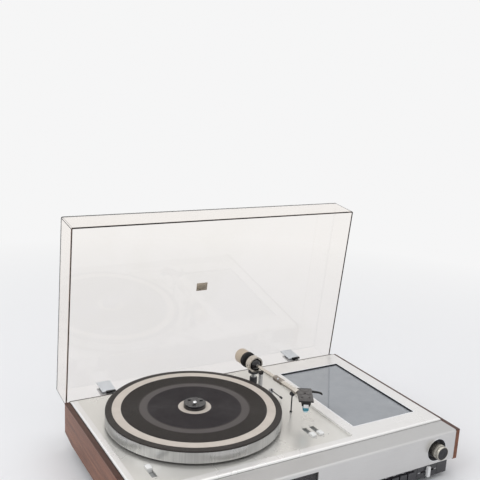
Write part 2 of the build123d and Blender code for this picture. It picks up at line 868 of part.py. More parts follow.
with BuildPart() as platter:
    with BuildSketch(Plane.XY.offset(platter_bottom)):
        Circle(platter_radius)
    extrude(amount=platter_height)
    with BuildSketch(Plane.XY.offset(platter_bottom)):
        Circle(platter_radius - platter_rim)
    extrude(amount=platter_height - platter_web, mode=Mode.SUBTRACT)
    with BuildSketch(Plane.XY.offset(platter_bottom)):
        Circle(spindle_radius)
    extrude(amount=platter_height, mode=Mode.SUBTRACT)
write(platter, "platter")

with BuildPart() as platter_mat:
    with BuildSketch(Plane.XY.offset(platter_top)):
        Circle(mat_radius)
        Circle(spindle_radius, mode=Mode.SUBTRACT)
    extrude(amount=mat_thickness)
    with BuildSketch(Plane.XY.offset(-inlay_thickness)):
        Circle(mat_ring_outer)
        Circle(mat_ring_inner, mode=Mode.SUBTRACT)
        Circle(centre_disc_radius)
    extrude(amount=inlay_thickness, mode=Mode.SUBTRACT)
write(platter_mat, "platter_mat")

with BuildPart() as mat_inlays:
    with BuildSketch(Plane.XY.offset(-inlay_thickness)):
        Circle(mat_ring_outer)
        Circle(mat_ring_inner, mode=Mode.SUBTRACT)
        Circle(centre_disc_radius)
        Circle(spindle_radius, mode=Mode.SUBTRACT)
    extrude(amount=inlay_thickness)
write(mat_inlays, "mat_inlays")

with BuildPart() as single_adaptor:
    with BuildSketch(Plane.XY):
        Circle(adaptor_radius)
        Circle(spindle_radius + running_clearance, mode=Mode.SUBTRACT)
    extrude(amount=adaptor_height)
    chamfer(single_adaptor.edges().group_by(Axis.Z)[-1].sort_by(SortBy.LENGTH)[-1], adaptor_edge)
    with BuildSketch(Plane.XY.offset(adaptor_height)):
        with PolarLocations(adaptor_pocket_ring, adaptor_pockets):
            Circle(adaptor_pocket_radius)
    extrude(amount=-adaptor_pocket_depth, mode=Mode.SUBTRACT)
write(single_adaptor, "single_adaptor")

with BuildPart() as motor:
    motor_bottom = deck_bottom - motor_height
    with BuildSketch(Plane.XY.offset(motor_bottom)):
        with Locations((motor_x, motor_y)):
            Circle(motor_radius)
    extrude(amount=motor_height)
    with BuildSketch(Plane.XY.offset(deck_bottom)):
        with Locations((motor_x, motor_y)):
            Circle(motor_shaft_radius)
    extrude(amount=pulley_bottom + pulley_height - deck_bottom)
write(motor, "motor")

with BuildPart() as motor_pulley:
    with BuildSketch(Plane.XY.offset(pulley_bottom - pulley_flange)):
        with Locations((motor_x, motor_y)):
            Circle(pulley_radius + pulley_flange)
    extrude(amount=pulley_flange)
    with BuildSketch(Plane.XY.offset(pulley_bottom)):
        with Locations((motor_x, motor_y)):
            Circle(pulley_radius)
    extrude(amount=pulley_height)
    with BuildSketch(Plane.XY.offset(pulley_bottom - pulley_flange)):
        with Locations((motor_x, motor_y)):
            Circle(motor_shaft_radius + running_clearance)
    extrude(amount=pulley_height + pulley_flange, mode=Mode.SUBTRACT)
write(motor_pulley, "motor_pulley")

belt_inner_big = sub_platter_radius + belt_clearance
belt_inner_small = pulley_radius + belt_clearance
belt_lean = degrees(acos((belt_inner_big - belt_inner_small) / motor_distance))


def belt_outline(grow):
    """The band round the sub-platter and the pulley: two circles joined by their tangents."""
    big = belt_inner_big + grow
    small = belt_inner_small + grow
    corners = [
        (reach + radius * cos(radians(turn)), radius * sin(radians(turn)))
        for reach, radius, turn in (
            (0, big, belt_lean),
            (motor_distance, small, belt_lean),
            (motor_distance, small, -belt_lean),
            (0, big, -belt_lean),
        )
    ]
    Circle(big)
    with Locations((motor_distance, 0)):
        Circle(small)
    Polygon(*corners, align=None)


with BuildPart() as drive_belt:
    belt_plane = Plane(
        origin=(0, 0, belt_centre_z - belt_height / 2),
        x_dir=(cos(radians(motor_angle)), sin(radians(motor_angle)), 0),
        z_dir=(0, 0, 1),
    )
    with BuildSketch(belt_plane):
        belt_outline(belt_thickness)
    extrude(amount=belt_height)
    with BuildSketch(belt_plane):
        belt_outline(0)
    extrude(amount=belt_height, mode=Mode.SUBTRACT)
write(drive_belt, "drive_belt")

# Tonearm base, fixed to the deck
with BuildPart() as arm_base:
    with BuildSketch(Plane.XY.offset(field_top)):
        with Locations((arm_pivot_x, arm_pivot_y)):
            Circle(arm_base_radius)
    extrude(amount=arm_base_height)
    fillet(arm_base.edges().group_by(Axis.Z)[-1], 1.5)
write(arm_base, "arm_base")

with BuildPart() as arm_stem:
    with BuildSketch(Plane.XY.offset(stem_bottom)):
        with Locations((arm_pivot_x, arm_pivot_y)):
            Circle(arm_stem_radius)
    extrude(amount=arm_stem_height)
    with BuildSketch(Plane.XY.offset(stem_top)):
        with Locations((arm_pivot_x, arm_pivot_y)):
            Circle(stem_pin_radius)
    extrude(amount=stem_pin_length)
write(arm_stem, "arm_stem")

# Swivelling collar and gimbal ring
with BuildPart() as yoke_collar:
    with BuildSketch(Plane.XY.offset(collar_bottom)):
        with Locations((arm_pivot_x, arm_pivot_y)):
            Circle(collar_radius)
    extrude(amount=collar_height)
    with BuildSketch(Plane.XY.offset(collar_bottom)):
        with Locations((arm_pivot_x, arm_pivot_y)):
            Circle(stem_pin_radius + running_clearance)
    extrude(amount=collar_height / 2 + moving_gap, mode=Mode.SUBTRACT)
    with BuildSketch(arm_section(-collar_radius)):
        Circle(gimbal_outer_radius)
    extrude(amount=2 * collar_radius, mode=Mode.SUBTRACT)
write(yoke_collar, "yoke_collar")

with BuildPart() as gimbal_ring:
    with BuildSketch(arm_section(-gimbal_depth / 2)):
        Circle(gimbal_outer_radius)
        Circle(gimbal_inner_radius, mode=Mode.SUBTRACT)
    extrude(amount=gimbal_depth)
    trunnion_plane = Plane(origin=arm_point(0, -gimbal_outer_radius), z_dir=arm_side)
    with BuildSketch(trunnion_plane):
        Circle(trunnion_radius + running_clearance)
    extrude(amount=2 * gimbal_outer_radius, mode=Mode.SUBTRACT)
write(gimbal_ring, "gimbal_ring")

# Pivoting arm
with BuildPart() as pivot_ball:
    with Locations(arm_pivot):
        Sphere(ball_radius)
    trunnion_reach = gimbal_outer_radius - moving_gap
    with BuildSketch(Plane(origin=arm_point(0, -trunnion_reach), z_dir=arm_side)):
        Circle(trunnion_radius)
    extrude(amount=2 * trunnion_reach)
    with BuildSketch(arm_section(-ball_radius)):
        Circle(tube_radius)
    extrude(amount=2 * ball_radius, mode=Mode.SUBTRACT)
write(pivot_ball, "pivot_ball")

with BuildPart() as arm_tube:
    with BuildSketch(arm_section(-tube_behind_pivot)):
        Circle(tube_radius)
        Circle(tube_bore_radius, mode=Mode.SUBTRACT)
    extrude(amount=tube_behind_pivot + tube_step)
    with BuildSketch(arm_section(tube_step)):
        Circle(front_tube_radius)
        Circle(tube_bore_radius, mode=Mode.SUBTRACT)
    extrude(amount=tube_length - tube_step)
write(arm_tube, "arm_tube")

with BuildPart() as lock_sleeve:
    with BuildSketch(arm_section(sleeve_start)):
        Circle(sleeve_radius)
    extrude(amount=sleeve_length)
    screw_plane = Plane(
        origin=arm_point(sleeve_start + sleeve_length * 0.6),
        z_dir=(-arm_side[0], -arm_side[1], 0),
    )
    with BuildSketch(screw_plane):
        Circle(sleeve_screw_radius)
    extrude(amount=sleeve_screw_reach)
    with BuildSketch(arm_section(sleeve_start)):
        Circle(tube_radius + running_clearance)
    extrude(amount=tube_step - sleeve_start - moving_gap, mode=Mode.SUBTRACT)
    with BuildSketch(arm_section(tube_step - moving_gap)):
        Circle(front_tube_radius + running_clearance)
    extrude(amount=sleeve_start + sleeve_length - tube_step + moving_gap, mode=Mode.SUBTRACT)
write(lock_sleeve, "lock_sleeve")

with BuildPart() as weight_dial:
    with BuildSketch(arm_section(-dial_ring_start)):
        Circle(dial_ring_radius)
        Circle(tube_radius + weight_fit, mode=Mode.SUBTRACT)
    extrude(amount=-dial_ring_length)
write(weight_dial, "weight_dial")

with BuildPart() as counterweight:
    with BuildSketch(arm_section(-weight_start)):
        Circle(weight_radius)
        Circle(tube_radius + weight_fit, mode=Mode.SUBTRACT)
    extrude(amount=-weight_length)
    with BuildSketch(arm_section(-dial_ring_start - dial_ring_length)):
        Circle(weight_radius - tube_radius)
        Circle(tube_radius + weight_fit, mode=Mode.SUBTRACT)
    extrude(amount=-(weight_start - dial_ring_start - dial_ring_length))
write(counterweight, "counterweight")

with BuildPart() as headshell:
    with BuildSketch(head_plane):
        with Locations((headshell_length / 2, 0)):
            RectangleRounded(headshell_length, headshell_width, 1.5)
        with Locations((headshell_hole_from_rear, 0)):
            Circle(headshell_hole_radius, mode=Mode.SUBTRACT)
    extrude(amount=-headshell_thickness)
    with BuildSketch(head_plane.offset(-headshell_thickness)):
        with Locations(
            (headshell_length / 4, headshell_width / 2 - 1),
            (headshell_length / 4, 1 - headshell_width / 2),
        ):
            Rectangle(headshell_length / 2 - 4, 2)
    extrude(amount=-headshell_skirt)
    with BuildSketch(arm_section(tube_length - headshell_collar_length)):
        Circle(headshell_collar_radius)
    extrude(amount=headshell_collar_length + 3)
    with BuildSketch(arm_section(tube_length - headshell_collar_length)):
        Circle(front_tube_radius)
    extrude(amount=headshell_collar_length, mode=Mode.SUBTRACT)
    with BuildSketch(head_plane.offset(-finger_lift_thickness)):
        with BuildLine():
            lift_path = Polyline(
                (9.0, headshell_width / 2 - 1),
                (9.0 + finger_lift_width / 3, headshell_width / 2 + 11),
                (19.0, headshell_width / 2 + 18),
            )
            offset(lift_path, amount=finger_lift_width / 2, side=Side.BOTH)
        make_face()
    extrude(amount=finger_lift_thickness)
write(headshell, "headshell")

with BuildPart() as cartridge:
    with BuildSketch(head_plane.offset(plate_bottom - head_top)):
        with Locations((headshell_length - cartridge_mount_length / 2, 0)):
            Rectangle(cartridge_mount_length, cartridge_mount_width)
    extrude(amount=-cartridge_mount_height)
    with BuildSketch(head_plane.offset(mount_bottom - head_top)):
        with Locations((headshell_length + 1.5 - cartridge_length / 2, 0)):
            Rectangle(cartridge_length, cartridge_width)
    extrude(amount=-cartridge_height)
write(cartridge, "cartridge")

with BuildPart() as stylus:
    with BuildSketch(head_plane.offset(cartridge_bottom - head_top)):
        with Locations((headshell_length + 2.5 - stylus_length / 2, 0)):
            Rectangle(stylus_length, stylus_width)
    extrude(amount=stylus_above_record + 1.4 - cartridge_bottom)
    with BuildSketch(head_plane.offset(stylus_above_record + 1.4 - head_top)):
        with Locations((headshell_length + 1 - stylus_length / 2, 0)):
            Circle(1.2)
    with BuildSketch(head_plane.offset(stylus_above_record - head_top)):
        with Locations((headshell_length + 1 - stylus_length / 2, 0)):
            Circle(0.4)
    loft()
write(stylus, "stylus")

# Arm rest: a thin post with a loop just under the tube
loop_z = -front_tube_radius - rest_gap - rest_loop_radius
with BuildPart() as arm_rest:
    rest_plane = Plane(origin=arm_point(rest_along - rest_loop_depth / 2), x_dir=arm_side, z_dir=arm_dir)
    with BuildSketch(Plane.XY.offset(field_top)):
        with Locations(arm_rest_at[:2]):
            Circle(rest_foot_radius)
    extrude(amount=rest_foot_height)
    with BuildSketch(Plane.XY.offset(field_top)):
        with Locations(arm_rest_at[:2]):
            Circle(rest_post_radius)
    extrude(amount=arm_above_record + loop_z - rest_loop_radius + 1 - field_top)
    with BuildSketch(rest_plane):
        with Locations((0, loop_z)):
            Circle(rest_loop_radius)
            Circle(rest_loop_hole, mode=Mode.SUBTRACT)
    extrude(amount=rest_loop_depth)
write(arm_rest, "arm_rest")

# Cue lift and its lever
lift_top = arm_above_record - tube_radius - lift_gap
with BuildPart() as lift_post:
    with BuildSketch(Plane.XY.offset(deck_bottom - lift_below_deck)):
        with Locations((lift_x, lift_y)):
            Circle(lift_radius)
    extrude(amount=lift_top - lift_cap_height - deck_bottom + lift_below_deck)
    with BuildSketch(Plane.XY.offset(lift_top - lift_cap_height)):
        with Locations((lift_x, lift_y)):
            Circle(lift_cap_radius)
    extrude(amount=lift_cap_height)
write(lift_post, "lift_post")

lever_z = field_top + lever_above_field
ear_reach_x = lever_boss_width / 2 + lever_ear_gap
ear_offset = ear_reach_x + lever_ear / 2
with BuildPart() as lever_bracket:
    with BuildSketch(Plane.XY.offset(field_top)):
        with Locations((lever_x - ear_offset, lever_y), (lever_x + ear_offset, lever_y)):
            Rectangle(lever_ear, 2 * lever_boss_radius + 1)
    extrude(amount=lever_above_field + lever_boss_radius)
    with BuildSketch(Plane.XY.offset(field_top)):
        with Locations((lever_x, lever_y)):
            Rectangle(2 * ear_reach_x, 2 * lever_boss_radius + 1)
    extrude(amount=1.2)
    with BuildSketch(Plane.YZ.offset(lever_x - ear_reach_x - lever_ear)):
        with Locations((lever_y, lever_z)):
            Circle(lever_pin_radius)
    extrude(amount=2 * (ear_reach_x + lever_ear))
write(lever_bracket, "lever_bracket")

with BuildPart() as cue_lever:
    with BuildSketch(Plane.YZ.offset(lever_x - lever_boss_width / 2)):
        with Locations((lever_y, lever_z)):
            Circle(lever_boss_radius)
    extrude(amount=lever_boss_width)
    with BuildSketch(Plane.XZ.offset(-lever_y)):
        with Locations((lever_x, lever_z)):
            Circle(lever_rod_radius)
    extrude(amount=lever_length)
    with BuildSketch(Plane.XZ.offset(lever_length - lever_tip_length - lever_y)):
        with Locations((lever_x, lever_z)):
            Circle(lever_tip_radius)
    extrude(amount=lever_tip_length)
    with BuildSketch(Plane.YZ.offset(lever_x - lever_boss_width / 2)):
        with Locations((lever_y, lever_z)):
            Circle(lever_pin_radius + running_clearance)
    extrude(amount=lever_boss_width, mode=Mode.SUBTRACT)
write(cue_lever, "cue_lever")

# Lid, drawn in its own frame and standing open
lid_mid_y = (lid_front + lid_rear) / 2 - hinge_y
lid_inside_radius = lid_corner_radius - lid_wall + 0.2
with BuildPart() as dust_cover:
    with BuildSketch(lid_plane(lid_rim_z)):
        with Locations((0, lid_mid_y)):
            RectangleRounded(lid_width, lid_depth, lid_corner_radius)
    extrude(amount=lid_height)
    with BuildSketch(lid_plane(lid_rim_z)):
        with Locations((0, lid_mid_y)):
            RectangleRounded(lid_width - 2 * lid_wall, lid_depth - 2 * lid_wall, lid_inside_radius)
    extrude(amount=lid_height - lid_wall, mode=Mode.SUBTRACT)
write(dust_cover, "dust_cover")

# Hinges
lid_side_plane = Plane(origin=lid_origin.origin, x_dir=lid_origin.y_dir, z_dir=(1, 0, 0))
clip_near = lid_rear - hinge_y
clip_top = lid_rim_z - hinge_z + clip_height
clip_waist = lid_rim_z - hinge_z + clip_waist_gap
with BuildPart() as hinge_clips:
    for x in hinge_x:
        centre = x - deck_centre_x
        with BuildSketch(lid_side_plane.offset(centre - clip_width / 2)):
            with Locations((clip_near + clip_thickness / 2, (clip_waist + clip_top) / 2)):
                Rectangle(clip_thickness, clip_top - clip_waist)
        extrude(amount=clip_width)
        with BuildSketch(lid_side_plane.offset(centre - hinge_barrel_width / 2)):
            Circle(hinge_barrel_radius)
            with Locations(((clip_near + clip_thickness) / 2, 0)):
                Rectangle(clip_near + clip_thickness, clip_lug_height)
            with Locations((clip_near + clip_thickness / 2, clip_waist / 2)):
                Rectangle(clip_thickness, clip_waist + clip_lug_height)
        extrude(amount=hinge_barrel_width)
        with BuildSketch(lid_side_plane.offset(centre - hinge_barrel_width / 2)):
            Circle(hinge_pin_radius + running_clearance)
        extrude(amount=hinge_barrel_width, mode=Mode.SUBTRACT)
write(hinge_clips, "hinge_clips")

ear_inner = hinge_barrel_width / 2 + ear_gap
with BuildPart() as hinge_brackets:
    for x in hinge_x:
        with BuildSketch(Plane.XZ.offset(-case_rear)):
            with Locations((x, hinge_z - bracket_height / 4)):
                Rectangle(bracket_width, bracket_height)
        extrude(amount=-bracket_plate)
        for side in (-1, 1):
            ear_start = x + side * (ear_inner + ear_thickness / 2) - ear_thickness / 2
            with BuildSketch(Plane.YZ.offset(ear_start)):
                with Locations(((case_rear + hinge_y) / 2, hinge_z)):
                    Rectangle(hinge_y - case_rear, 2 * ear_reach)
                with Locations((hinge_y, hinge_z)):
                    Circle(ear_reach)
                    Circle(hinge_pin_radius, mode=Mode.SUBTRACT)
            extrude(amount=ear_thickness)
write(hinge_brackets, "hinge_brackets")

with BuildPart() as hinge_pins:
    for x in hinge_x:
        with BuildSketch(Plane.YZ.offset(x - ear_inner - ear_thickness)):
            with Locations((hinge_y, hinge_z)):
                Circle(hinge_pin_radius)
        extrude(amount=2 * (ear_inner + ear_thickness))
write(hinge_pins, "hinge_pins")
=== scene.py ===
import json
import math

import bmesh
import bpy
from mathutils import Matrix, Vector


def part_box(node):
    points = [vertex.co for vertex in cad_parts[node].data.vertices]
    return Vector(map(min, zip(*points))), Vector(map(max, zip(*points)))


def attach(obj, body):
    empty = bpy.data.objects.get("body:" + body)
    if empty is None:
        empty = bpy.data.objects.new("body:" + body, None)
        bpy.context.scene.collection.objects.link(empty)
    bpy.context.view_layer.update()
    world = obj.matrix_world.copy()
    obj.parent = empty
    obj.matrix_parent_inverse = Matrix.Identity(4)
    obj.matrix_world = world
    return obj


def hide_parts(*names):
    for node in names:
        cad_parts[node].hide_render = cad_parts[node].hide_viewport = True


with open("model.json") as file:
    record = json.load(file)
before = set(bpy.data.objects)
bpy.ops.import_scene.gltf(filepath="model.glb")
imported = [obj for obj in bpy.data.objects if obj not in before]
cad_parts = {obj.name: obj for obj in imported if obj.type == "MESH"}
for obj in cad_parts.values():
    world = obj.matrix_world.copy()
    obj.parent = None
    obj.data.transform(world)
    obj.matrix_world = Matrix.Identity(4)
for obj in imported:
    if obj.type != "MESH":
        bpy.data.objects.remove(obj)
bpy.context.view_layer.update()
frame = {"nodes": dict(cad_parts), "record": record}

# Sizes are in millimetres until a piece is made, and MM turns them into metres.
MM = 0.001

# Places on the player, as in the part's source
UP = Vector((0.0, 0.0, 1.0))
TOWARDS_FRONT = Vector((0.0, -1.0, 0.0))
SPINDLE = Vector((0.0, 0.0, 0.0))
ARM_PIVOT = Vector((163.0, 81.0, 19.0))
ARM_ANGLE = math.radians(2.9)
ARM_FORWARD = Vector((math.sin(ARM_ANGLE), -math.cos(ARM_ANGLE), 0.0))
ARM_RIGHT = Vector((math.cos(ARM_ANGLE), math.sin(ARM_ANGLE), 0.0))
HEAD_ANGLE = math.radians(29.5)
HEAD_FORWARD = Vector((-math.sin(HEAD_ANGLE), -math.cos(HEAD_ANGLE), 0.0))
HEAD_RIGHT = Vector((math.cos(HEAD_ANGLE), -math.sin(HEAD_ANGLE), 0.0))
KNOB_CENTRE = Vector((357.8, -214.5, -54.2))
PANEL_FRONT = -218.2
PANEL_MIDDLE = -91.0
SLIDER_X = 342.4
FIELD_LEFT, FIELD_RIGHT = -160.4, 214.3
FIELD_FRONT, FIELD_REAR = -166.7, 142.0
FIELD_TOP = -25.0
FLOOR = -112.0
HINGE = Vector((114.4, 148.0, -36.8))
LID_OPEN = math.radians(83.5)
LID_UP = Vector((0.0, math.sin(LID_OPEN), math.cos(LID_OPEN)))
LID_BACK = Vector((0.0, math.cos(LID_OPEN), -math.sin(LID_OPEN)))
LID_RIM = -22.0
LID_TOP = 37.5
LID_REAR = 153.6


def as_given(x, y, z):
    """A point that is already in the row frame."""
    return Vector((x, y, z))


def arm_place(along, side, up):
    """A point along the arm from its pivot, to its right and above its axis."""
    return ARM_PIVOT + ARM_FORWARD * along + ARM_RIGHT * side + UP * up


HEAD_REAR = arm_place(136.0, 17.0, 3.0)


def head_place(along, side, up):
    """A point along the headshell from its rear edge, to its right and above its top."""
    return HEAD_REAR + HEAD_FORWARD * along + HEAD_RIGHT * side + UP * up


def lid_place(x, y, z):
    """A point of the closed lid, moved to where it is on the open one."""
    return Vector((x, HINGE.y, HINGE.z)) + LID_BACK * (y - HINGE.y) + LID_UP * (z - HINGE.z)


# Shaping. Edges sharper than ROUNDED_ABOVE are rounded, and those sharper than SHARP_ABOVE stay
# crisp in the shading.
ROUNDED_ABOVE = math.radians(40.0)
SHARP_ABOVE = math.radians(32.0)
ONE_POINT = 1e-6
SAME_PLACE = 1e-7


def add_turned(mesh, profile, centre=SPINDLE, direction=UP, around=96, closed=False, ribs=None):
    """Turns (radius, height) steps round an axis.

    ribs is (count, depth, lowest height, highest height).
    """
    axis = Vector(direction).normalized()
    side = axis.orthogonal().normalized()
    across = axis.cross(side)
    rings = []
    for radius, height in profile:
        middle = Vector(centre) + axis * height
        if radius < ONE_POINT:
            rings.append([mesh.verts.new(middle * MM)])
            continue
        ring = []
        for step in range(around):
            turn = 2 * math.pi * step / around
            reach = radius
            if ribs and ribs[2] <= height <= ribs[3] and (step * 2 * ribs[0] // around) % 2:
                reach -= ribs[1]
            point = middle + (side * math.cos(turn) + across * math.sin(turn)) * reach
            ring.append(mesh.verts.new(point * MM))
        rings.append(ring)
    pairs = list(zip(rings, rings[1:]))
    if closed:
        pairs.append((rings[-1], rings[0]))
    for lower, upper in pairs:
        if len(lower) == 1 and len(upper) == 1:
            continue
        for step in range(around):
            following = (step + 1) % around
            if len(lower) == 1:
                mesh.faces.new((lower[0], upper[following], upper[step]))
            elif len(upper) == 1:
                mesh.faces.new((lower[step], lower[following], upper[0]))
            else:
                mesh.faces.new((lower[step], lower[following], upper[following], upper[step]))


def add_slab(mesh, outline, low, high, place, rounding, holes=()):
    """Raises a flat outline from low to high.

    place turns (x, y, z) of the outline's own frame into the row frame.
    """
    own = bmesh.new()
    ends = {low: [], high: []}
    for loop in (outline, *holes):
        levels = [[own.verts.new(Vector((x, y, z))) for x, y in loop] for z in (low, high)]
        bottom, top = levels
        for step in range(len(loop)):
            following = (step + 1) % len(loop)
            own.faces.new((bottom[step], bottom[following], top[following], top[step]))
        for z, level in zip((low, high), levels):
            ends[z] += [own.edges.get((level[step - 1], level[step])) for step in range(len(level))]
    for z in (low, high):
        if holes:
            bmesh.ops.triangle_fill(own, edges=ends[z], use_beauty=True)
        else:
            bmesh.ops.contextual_create(own, geom=ends[z])
    bmesh.ops.recalc_face_normals(own, faces=own.faces)
    sharp = [edge for edge in own.edges if edge.calc_face_angle(0) > ROUNDED_ABOVE]
    bmesh.ops.bevel(own, geom=sharp, offset=rounding, segments=2, profile=0.5,
                    affect="EDGES", clamp_overlap=True)
    for vertex in own.verts:
        vertex.co = place(*vertex.co) * MM
    loose = bpy.data.meshes.new("shape")
    own.to_mesh(loose)
    own.free()
    mesh.from_mesh(loose)
    bpy.data.meshes.remove(loose)


def round_outline(radius, centre, around=24):
    """The outline of a circle."""
    turns = [2 * math.pi * step / around for step in range(around)]
    x, y = centre
    return [(x + radius * math.cos(turn), y + radius * math.sin(turn)) for turn in turns]


def box_outline(width, depth, centre):
    """The outline of a rectangle."""
    x, y = centre
    w, d = width / 2, depth / 2
    return [(x - w, y - d), (x + w, y - d), (x + w, y + d), (x - w, y + d)]


def mirrored(points):
    """An outline from its lower half, whose upper half is the same."""
    return points + [(x, -y) for x, y in reversed(points)]


def add_block(mesh, low, high, rounding):
    """A block between two corners, with its edges rounded."""
    middle = ((low[0] + high[0]) / 2, (low[1] + high[1]) / 2)
    outline = box_outline(high[0] - low[0], high[1] - low[1], middle)
    add_slab(mesh, outline, low[2], high[2], as_given, rounding)


def add_bar(mesh, start, end, radius, around):
    """A straight round bar between two points."""
    along = (end - start).normalized()
    side = along.orthogonal().normalized()
    across = along.cross(side)
    turns = [2 * math.pi * step / around for step in range(around)]
    offsets = [(side * math.cos(turn) + across * math.sin(turn)) * radius for turn in turns]
    lower, upper = [[mesh.verts.new((point + offset) * MM) for offset in offsets]
                    for point in (start, end)]
    for step in range(around):
        following = (step + 1) % around
        mesh.faces.new((lower[step], lower[following], upper[following], upper[step]))
    mesh.faces.new(list(reversed(lower)))
    mesh.faces.new(upper)


def grooves(outer, inner, pitch, steps):
    """A profile's (radius, height) points for grooves from the outer radius in.

    steps are one groove's (distance in from its outer edge, height).
    """
    points = []
    edge = outer
    while edge > inner:
        points += [(edge - inset, height) for inset, height in steps]
        edge -= pitch
    return points


def show(name, data):
    """An object that holds the data, put into the scene."""
    holder = bpy.data.objects.new(name, data)
    bpy.context.scene.collection.objects.link(holder)
    return holder


def make_piece(name, mesh, body, slot, finish=None, stands_for=()):
    """Turns a finished shape into a piece that rides on a body.

    Its finish has the slot's name if no other is given.
    """
    bmesh.ops.remove_doubles(mesh, verts=mesh.verts, dist=SAME_PLACE)
    bmesh.ops.recalc_face_normals(mesh, faces=mesh.faces)
    data = bpy.data.meshes.new(name)
    mesh.to_mesh(data)
    mesh.free()
    data.polygons.foreach_set("use_smooth", [True] * len(data.polygons))
    data.set_sharp_from_angle(angle=SHARP_ABOVE)
    data.materials.append(finishes[finish or slot])
    piece = show(name, data)
    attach(piece, body)
    if stands_for:
        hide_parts(*stands_for)


def make_turned(name, body, slot, profile, centre, direction, finish=None, stands_for=(), **more):
    """A piece turned round one axis."""
    mesh = bmesh.new()
    add_turned(mesh, profile, centre, direction, **more)
    make_piece(name, mesh, body, slot, finish, stands_for)


# Parts of finishes
COLOR, FLOAT, VECTOR = "NodeSocketColor", "NodeSocketFloat", "NodeSocketVector"


def wire(tree, kind, inputs=None, **settings):
    """Adds a node, sets it and joins or fills its inputs."""
    made = tree.nodes.new(kind)
    for name, value in settings.items():
        setattr(made, name, value)
    for name, value in (inputs or {}).items():
        socket = made.inputs[name]
        if isinstance(value, bpy.types.NodeSocket):
            tree.links.new(value, socket)
        else:
            socket.default_value = value
    return made


def join(tree, ends, sources):
    """Joins outputs to the inputs of a shader or group, by name."""
    for name, source in sources.items():
        tree.links.new(source, ends[name])


def new_group(name, inputs, gives=("Color", "Roughness", "Height")):
    """Starts a shader node group with named inputs and outputs."""
    group = bpy.data.node_groups.new(name, "ShaderNodeTree")
    for label, kind, value in inputs:
        socket = group.interface.new_socket(label, in_out="INPUT", socket_type=kind)
        socket.default_value = value
    for label in gives:
        kind = COLOR if label == "Color" else FLOAT
        group.interface.new_socket(label, in_out="OUTPUT", socket_type=kind)
    return (group, group.nodes.new("NodeGroupInput").outputs,
            group.nodes.new("NodeGroupOutput").inputs)


def blend_colors(tree, share, first, second):
    """Mixes two colours by a share from 0 to 1."""
    mixer = wire(tree, "ShaderNodeMix", {0: share, 6: first, 7: second}, data_type="RGBA")
    return mixer.outputs[2]


def blend_values(tree, share, first, second):
    """Mixes two values by a share from 0 to 1."""
    mixer = wire(tree, "ShaderNodeMix", {0: share, 2: first, 3: second}, data_type="FLOAT")
    return mixer.outputs[0]


def part_place(tree):
    """The place on the piece, in metres, which moves with it."""
    return tree.nodes.new("ShaderNodeTexCoord").outputs["Object"]


def part_height(tree):
    """The height on the piece, in metres."""
    return wire(tree, "ShaderNodeSeparateXYZ", {0: part_place(tree)}).outputs["Z"]


def combine(tree, operation, first, second):
    """Works on two vectors."""
    both = {0: first, 1: second}
    return wire(tree, "ShaderNodeVectorMath", both, operation=operation).outputs


def stretched(tree, place, stretch):
    """A place with each of its directions multiplied."""
    return combine(tree, "MULTIPLY", place, stretch)[0]


def calculate(tree, operation, first, second):
    """Works on two values."""
    return wire(tree, "ShaderNodeMath", {0: first, 1: second}, operation=operation).outputs[0]


def spread(tree, value, low, high, to_low=0.0, to_high=1.0):
    """Stretches a value between low and high over a new range."""
    limits = {"From Min": low, "From Max": high, "To Min": to_low, "To Max": to_high}
    return wire(tree, "ShaderNodeMapRange", {"Value": value, **limits}).outputs["Result"]


def noise(tree, place, scale, detail, roughness=0.5, distortion=0.0):
    """Soft random clouds."""
    settings = {"Scale": scale, "Detail": detail, "Roughness": roughness,
                "Distortion": distortion}
    return wire(tree, "ShaderNodeTexNoise", {"Vector": place, **settings}).outputs


def make_brushing():
    """Fine lines that run across the longer of the stretches, with broad faint clouds."""
    group, given, result = new_group("brushing", [
        ("Stretch", VECTOR, (20, 2000, 2000)),
        ("Light", COLOR, (0.8, 0.8, 0.8, 1)), ("Dark", COLOR, (0.6, 0.6, 0.6, 1)),
        ("Smooth", FLOAT, 0.3), ("Rough", FLOAT, 0.45)])
    place = part_place(group)
    lines = noise(group, stretched(group, place, given["Stretch"]), 1.0, 5.0, 0.7)[0]
    clouds = noise(group, place, 9.0, 3.0, 0.55)[0]
    line_share = spread(group, lines, 0.3, 0.7)
    cloud_share = spread(group, clouds, 0.3, 0.7)
    share = blend_values(group, 0.45, line_share, cloud_share)
    join(group, result, {
        "Color": blend_colors(group, share, given["Light"], given["Dark"]),
        "Roughness": blend_values(group, cloud_share, given["Smooth"], given["Rough"]),
        "Height": line_share})
    return group


def make_moulding():
    """A pebbled skin with faint clouds."""
    group, given, result = new_group("moulding", [
        ("Grain", FLOAT, 1800.0),
        ("Light", COLOR, (0.05, 0.05, 0.05, 1)), ("Dark", COLOR, (0.03, 0.03, 0.03, 1)),
        ("Smooth", FLOAT, 0.4), ("Rough", FLOAT, 0.6)])
    place = part_place(group)
    pebbles = wire(group, "ShaderNodeTexVoronoi", {"Vector": place, "Scale": given["Grain"]},
                   feature="SMOOTH_F1")
    share = spread(group, noise(group, place, 40.0, 6.0, 0.65)[0], 0.35, 0.75)
    join(group, result, {
        "Color": blend_colors(group, share, given["Dark"], given["Light"]),
        "Roughness": blend_values(group, share, given["Smooth"], given["Rough"]),
        "Height": pebbles.outputs["Distance"]})
    return group


